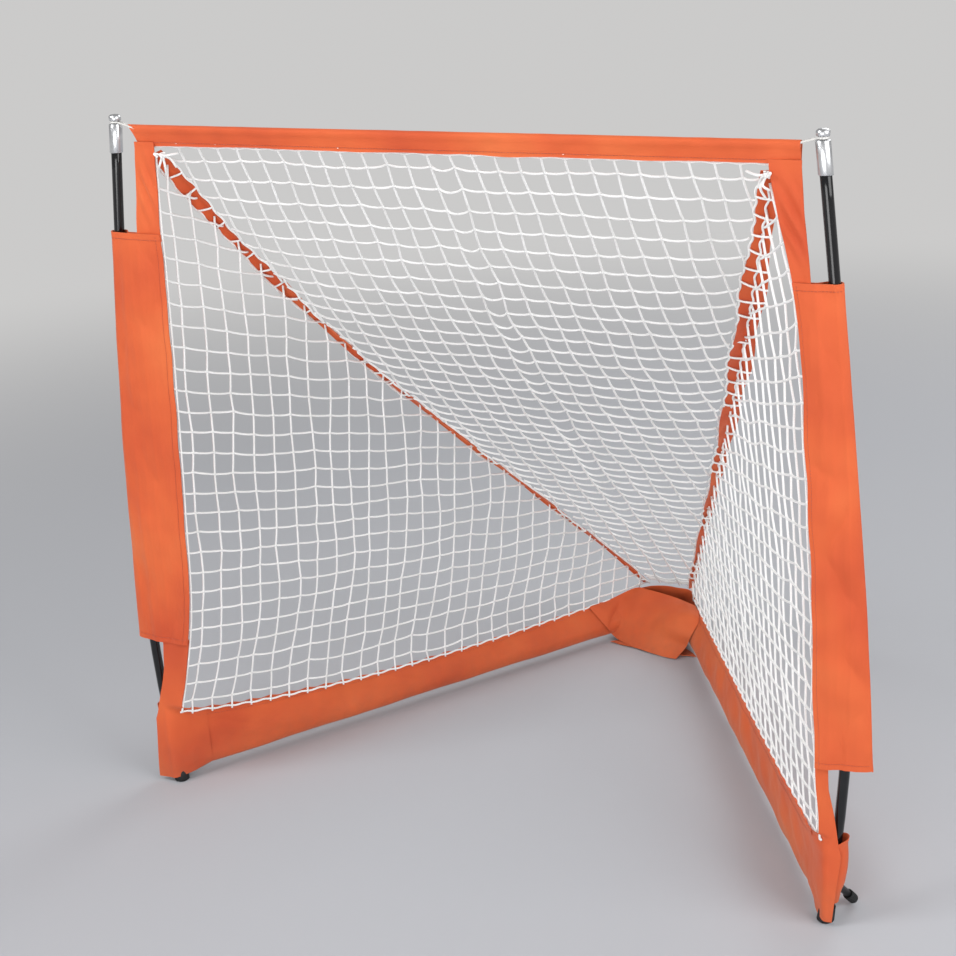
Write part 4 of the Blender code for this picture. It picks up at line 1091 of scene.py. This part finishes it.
def build_strap(label, sign):
    """Fabric strap between the side and back nets, bunching as it goes down, laced in with twine."""
    t = STRAP_T
    tangent = unit(np.gradient(STRAP, axis=0))
    plane = NET_PLANE * np.sign(NET_PLANE[0])
    towards = np.cross(plane, tangent)
    towards *= np.sign(-towards[:, 2:3])
    turn = np.radians(curve(HANG[label]["turn"], t) + 8 * np.sin(t * 31 + sign) * smooth(t / 0.15))
    across = np.cos(turn)[:, None] * towards + np.sin(turn)[:, None] * plane
    normal = np.cross(across, tangent)
    half = curve(HANG[label]["strap"], t) * (1 + 0.16 * np.sin(t * 47 + sign))
    v = np.linspace(-0.5, 0.5, 11)[:, None]
    curl = 0.0025 * np.cos(v * 2 * math.pi) * (0.7 + 0.5 * np.sin(t * 29 + sign))[:, None, None]
    grid = STRAP[:, None] + across[:, None] * v * 2 * half[:, None, None] + normal[:, None] * curl
    side_cloth("strap", "corner_strap", label, grid, STRAP_CLOTH)
    face = normal * np.where(normal @ np.array([-1.0, -0.5, 0.2]) > 0, 1, -1)[:, None]
    length, step = run_length(STRAP), 0.003
    at = np.arange(0.030, length[-1] - 0.004, step)
    mid, broad, out = (sample(at, length, values) for values in (STRAP, across, face))
    reach = np.interp(at, length, half)[:, None]
    pieces = Pieces()
    for place in (-1, 1) if label == "left" else (-1, 0.05):
        slack = 0.0018 * np.sin(at * 2 * math.pi / MESH * 0.98 + 2 * place)[:, None]
        lift = 0.0042 if abs(place) < 1 else 0.0030
        path = mid + broad * (place * (reach + 0.0008) + slack) + out * lift
        pieces.tube(mirrored(path, sign), TIGHT_TWINE_R, mirrored(out, sign))
    u = np.linspace(-1, 1, 13)[:, None]
    for k in range(6, len(at) - 6, 13):
        slip = (mid[k + 1] - mid[k]) / step * 0.003 * math.sin(k * 1.7)
        bow = 0.0056 * (1 - 0.5 * np.abs(u) ** 3)
        path = mid[k] + broad[k] * u * (reach[k] + 0.002) + out[k] * bow + slip * u
        pieces.tube(mirrored(path, sign), TIGHT_TWINE_R, mirrored(out[k], sign))
    fit(pieces.build(f"strap_lacing_{label}"), "white_net", f"arm_{label}")


def build_lashing(label, sign):
    """White cords that tie the net's corner to the band and the bar."""
    pieces = Pieces()
    knot = NET_TOP + (-0.020 if label == "left" else -0.007, -0.003, -0.013)
    loops = (
        ((-0.030, 0.002, 0.004), (-0.012, -0.010, 0.001)),
        ((0.004, -0.008, -0.002), (0.008, -0.010, 0.004)),
        ((0.006, -0.006, -0.020), (-0.002, -0.012, -0.012)),
        ((-0.002, 0.002, -0.032), (-0.007, -0.006, -0.016)),
        ((-0.016, 0.012, -0.020), (-0.010, 0.006, -0.006)),
    )
    for end, bend in loops:
        path = smooth_path(np.array([knot, knot + bend, knot + end]), 8)
        pieces.tube(mirrored(path, sign), TWINE_R, (0.1, 1, 0.2))
    turn = np.linspace(0, 5 * math.pi, 60)
    coil = knot + join(0.0034 * np.cos(turn), 0.0034 * np.sin(turn), 0.0005 * (turn - turn.mean()))
    pieces.tube(mirrored(coil, sign), TWINE_R, (0, 0, 1))
    fit(pieces.build(f"corner_lashing_{label}"), "white_net", f"arm_{label}")


def build_corner_loop(label, sign):
    """Cord from the bar's end round the neck under the knob and back, crossing itself."""
    low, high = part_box(f"corner_loop_{label}")
    neck = np.array([abs(low.x + high.x) / 2, GOAL_Y, (low.z + high.z) / 2])
    ring, apart = 0.0068, np.array([0, 0.003, 0])
    start = np.array([BAR_HIGH.x - 0.012, GOAL_Y, BAR_HIGH.z - 0.006])
    turn = np.linspace(-2.6, 2.6, 40)
    loop = neck + join(ring * np.cos(turn), ring * np.sin(turn), 0)
    lead = np.linspace(0, 1, 14)[:-1, None]
    first = start - apart + lead * (loop[0] - start + apart)
    last = loop[-1] + lead[1:] * (start + apart - loop[-1])
    path = np.concatenate([first, loop, last])
    path = evenly(path, int(round(run_length(path)[-1] / 0.0012)) + 1)
    pieces = Pieces()
    pieces.tube(mirrored(path, sign), CORD_R * 0.95, (0, 0, 1), 10)
    cord = dress(pieces.build(f"tip_cord_{label}"), "white_cord", f"corner_loop_{label}")
    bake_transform(cord)


def pocket_edge(points, count):
    """Even points along a smooth curve through a few corners of the pocket."""
    return evenly(smooth_path(np.array(points, float), 12), count)


def on_hem(label, sign, along, z, clear=0.003):
    """Point just off a hem's inner face."""
    return mirrored(on_arm(along, hem_inner_face(along, z, label) - clear, z), sign)


def clear_of_hems(grid):
    """Draws cloth off the inside of both hems wherever it would sink into them."""
    for label, sign in SIDES:
        for point in grid.reshape(-1, 3):
            along, across = in_arm((point[0] * sign, point[1]))
            if not 0.04 < along < 0.2 or point[2] > hem_top(arm_back(along), label):
                continue
            limit = hem_inner_face(along, point[2], label) - 0.0025
            if across > limit:
                point[:2] = mirrored(on_arm(along, limit, point[2]), sign)[:2]
    return grid


def build_pocket_cover():
    """Cover draped over the hub: low folded front edge on the floor, raised open mouth at the rear."""
    left, right = SIDES
    front = pocket_edge(
        [on_hem(*left, 0.152, 0.086), on_hem(*left, 0.144, 0.072, 0.004),
         on_hem(*left, 0.135, 0.055, 0.005), on_hem(*left, 0.122, 0.035, 0.006),
         on_hem(*left, 0.104, 0.014, 0.008), (-0.0714, -0.0987, 0.005),
         (-0.0265, -0.1173, 0.003), (0.0104, -0.1286, 0.002), (0.0507, -0.1383, 0.002),
         (0.0741, -0.1402, 0.003)], 81)
    rear = pocket_edge(
        [on_hem(*left, 0.150, 0.088), on_hem(*left, 0.095, 0.088, 0.0), (-0.064, -0.024, 0.101),
         (-0.030, -0.026, 0.102), (0.010, -0.032, 0.100), (0.046, -0.042, 0.098),
         on_hem(*right, 0.062, 0.090)], 81)
    side = pocket_edge(
        [rear[-1], on_hem(*right, 0.092, 0.087), on_hem(*right, 0.120, 0.078),
         on_hem(*right, 0.134, 0.052, 0.006), (0.088, -0.116, 0.022), front[-1]], 61)
    s = np.linspace(0, 1, 61)[:, None]
    v = np.linspace(0, 1, 81)[None]
    grid = rear * (1 - s[..., None]) + front * s[..., None]
    straight = rear[-1] + s * (front[-1] - rear[-1])
    grid += (side - straight)[:, None] * smooth((v - 0.5) / 0.5)[..., None] ** 2
    middle, spread = arch(v) ** 0.7, arch(s) ** 0.8
    grid[..., 2] += curve((0.0, 0.008, 0.014, 0.015, 0.010, 0.0), s) * middle
    grid[..., 1] -= 0.004 * arch(s) * middle
    fold = np.sin((v * 1.3 + 0.35 * s) * 2 * math.pi * 1.6 + 0.6) * (0.3 + 0.7 * (1 - s))
    folds = 0.0030 * fold + 0.0028 * ripples(grid[..., 0], grid[..., 1], 121, 0.075)
    grid[..., 2] += folds * spread * middle
    grid[..., 2] -= 0.0045 * bell(v + 0.1 * s, 0.62, 0.05) * spread
    return clear_of_hems(grid)


def build_rear_pocket():
    """Cloth bag over the hub: cover, rear wall behind the mouth, and the layer on the floor."""
    rim = pocket_edge(
        [(-0.078, -0.024, 0.092), (-0.054, -0.008, 0.098), (-0.024, 0.003, 0.102), (0.012, 0.008, 0.102),
         (0.046, 0.010, 0.101), (0.072, -0.014, 0.098)], 61)
    drop = np.linspace(0, 1, 21)[:, None]
    foot = rim * (0.90, 0.92, 0.0) + (0.0, 0.004, 0.024)
    wall = rim * (1 - drop[..., None]) + foot * drop[..., None]
    wall[..., 1] += 0.004 * arch(drop) + 0.002 * ripples(wall[..., 0], wall[..., 2], 131, 0.06)
    wall[..., 1] = np.minimum(wall[..., 1], 0.034)
    u, v = np.meshgrid(np.linspace(0, 1, 31), np.linspace(-1, 1, 41), indexing="ij")
    low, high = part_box("rear_pocket_floor")
    y = high.y + (low.y - 0.004 - high.y) * u
    sheet = join((0.035 + 0.066 * u) * v + 0.010 * u, y + 0.010 * (v - 0.2) ** 2 * u, 0.0014)
    sheet[..., 2] += 0.0016 * np.abs(ripples(sheet[..., 0], y, 141, 0.05)) * u
    for name, grid, node in (
        ("hub_pocket_cover", build_pocket_cover(), "rear_pocket_cover"),
        ("hub_pocket_wall", wall, None),
        ("hub_pocket_floor", sheet, "rear_pocket_floor"),
    ):
        layer = cloth(name, grid)
        fit(layer, "orange_fabric", "hub", node)
        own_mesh(layer)


def dress_frame():
    """Gives the carried-over CAD nodes their procedural finishes and smooth shading."""
    slots = {row["node"]: row["material_slot"] for row in frame["record"]["subparts"]}
    for node, obj in frame["nodes"].items():
        if obj.hide_render:
            continue
        obj.data.materials.clear()
        obj.data.materials.append(MATERIALS[slots[node]])
        weld = obj.modifiers.new("weld", "WELD")
        weld.merge_threshold = 0.00001
        if obj.data.has_custom_normals:
            with bpy.context.temp_override(active_object=obj, object=obj):
                bpy.ops.mesh.customdata_custom_splitnormals_clear()
        obj.data.shade_smooth()


# --- stage and camera ---


def build_floor():
    """Plain pale floor that fades evenly into the background."""
    mesh = bpy.data.meshes.new("floor")
    corners = [(x * FLOOR_SIZE, y * FLOOR_SIZE, 0) for x, y in ((-1, -1), (1, -1), (1, 1), (-1, 1))]
    mesh.from_pydata(corners, [], [(0, 1, 2, 3)])
    floor = new_object("floor", mesh)
    floor.location.z = -0.0005
    f = Finish("floor", (0.46, 0.47, 0.50), 0.8)
    distance = f.node("VectorMath", Vector=f.node("NewGeometry").outputs["Position"])
    distance.operation = "LENGTH"
    fade = f.node("MapRange", From_Min=1.3, From_Max=4.6, Value=distance.outputs["Value"])
    fade.interpolation_type = "SMOOTHSTEP"
    mix = f.node("MixShader", Fac=fade.outputs["Result"])
    f.plug(mix.inputs[1], f.shader.outputs["BSDF"])
    f.plug(mix.inputs[2], f.node("Emission", Color=BACKDROP, Strength=1.0).outputs["Emission"])
    f.plug(f.tree.nodes["Material Output"].inputs["Surface"], mix.outputs["Shader"])
    mesh.materials.append(f.material)


def build_light():
    """Pale studio walls, dimmer as a lamp than as a background, and four soft lights."""
    world = bpy.data.worlds.new("studio")
    world.use_nodes = True
    tree = world.node_tree
    background = tree.nodes["Background"]
    background.inputs["Color"].default_value = BACKDROP
    strength = tree.nodes.new("ShaderNodeMath")
    strength.operation = "MAXIMUM"
    strength.inputs[1].default_value = 0.60
    tree.links.new(tree.nodes.new("ShaderNodeLightPath").outputs["Is Camera Ray"], strength.inputs[0])
    tree.links.new(strength.outputs[0], background.inputs["Strength"])
    bpy.context.scene.world = world
    for name, place, width, power in (
        ("key", (-1.9, -3.0, 3.4), 1.4, 66),
        ("front", (0.6, -4.6, 0.8), 2.4, 88),
        ("fill", (3.2, -1.5, 2.4), 2.5, 78),
        ("rear", (0.5, 2.8, 3.0), 2.0, 48),
    ):
        data = bpy.data.lights.new(name, "AREA")
        data.energy, data.size = power, width
        light = new_object(name, data)
        light.location = place
        light.visible_camera = False
        aim = Vector((0, -0.5, 0.5)) - Vector(place)
        light.rotation_euler = aim.to_track_quat("-Z", "Y").to_euler()
    bpy.context.scene.view_settings.view_transform = "Standard"


def build_camera():
    yaw, pitch, roll = (math.radians(a) for a in CAMERA_ANGLES)
    level = math.cos(pitch)
    forward = Vector((-math.sin(yaw) * level, math.cos(yaw) * level, -math.sin(pitch)))
    right = Vector((math.cos(yaw), math.sin(yaw), 0))
    down = forward.cross(right)
    x = math.cos(roll) * right + math.sin(roll) * down
    y = math.sin(roll) * right - math.cos(roll) * down
    data = bpy.data.cameras.new("camera")
    data.lens, data.sensor_width = CAMERA_LENS, 36
    data.shift_x, data.shift_y = CAMERA_SHIFT
    camera = new_object("camera", data)
    turned = Matrix((x, y, -forward)).transposed().to_4x4()
    camera.matrix_world = Matrix.Translation(CAMERA_AT) @ turned
    bpy.context.scene.camera = camera


build_nets()
build_top_bar()
for side in SIDES:
    for build in (build_band, build_flap, build_tapes, build_hem, build_collar, build_strap):
        build(*side)
    build_lashing(*side)
    build_corner_loop(*side)
build_rear_pocket()
dress_frame()
build_floor()
build_light()
build_camera()

bpy.context.view_layer.update()
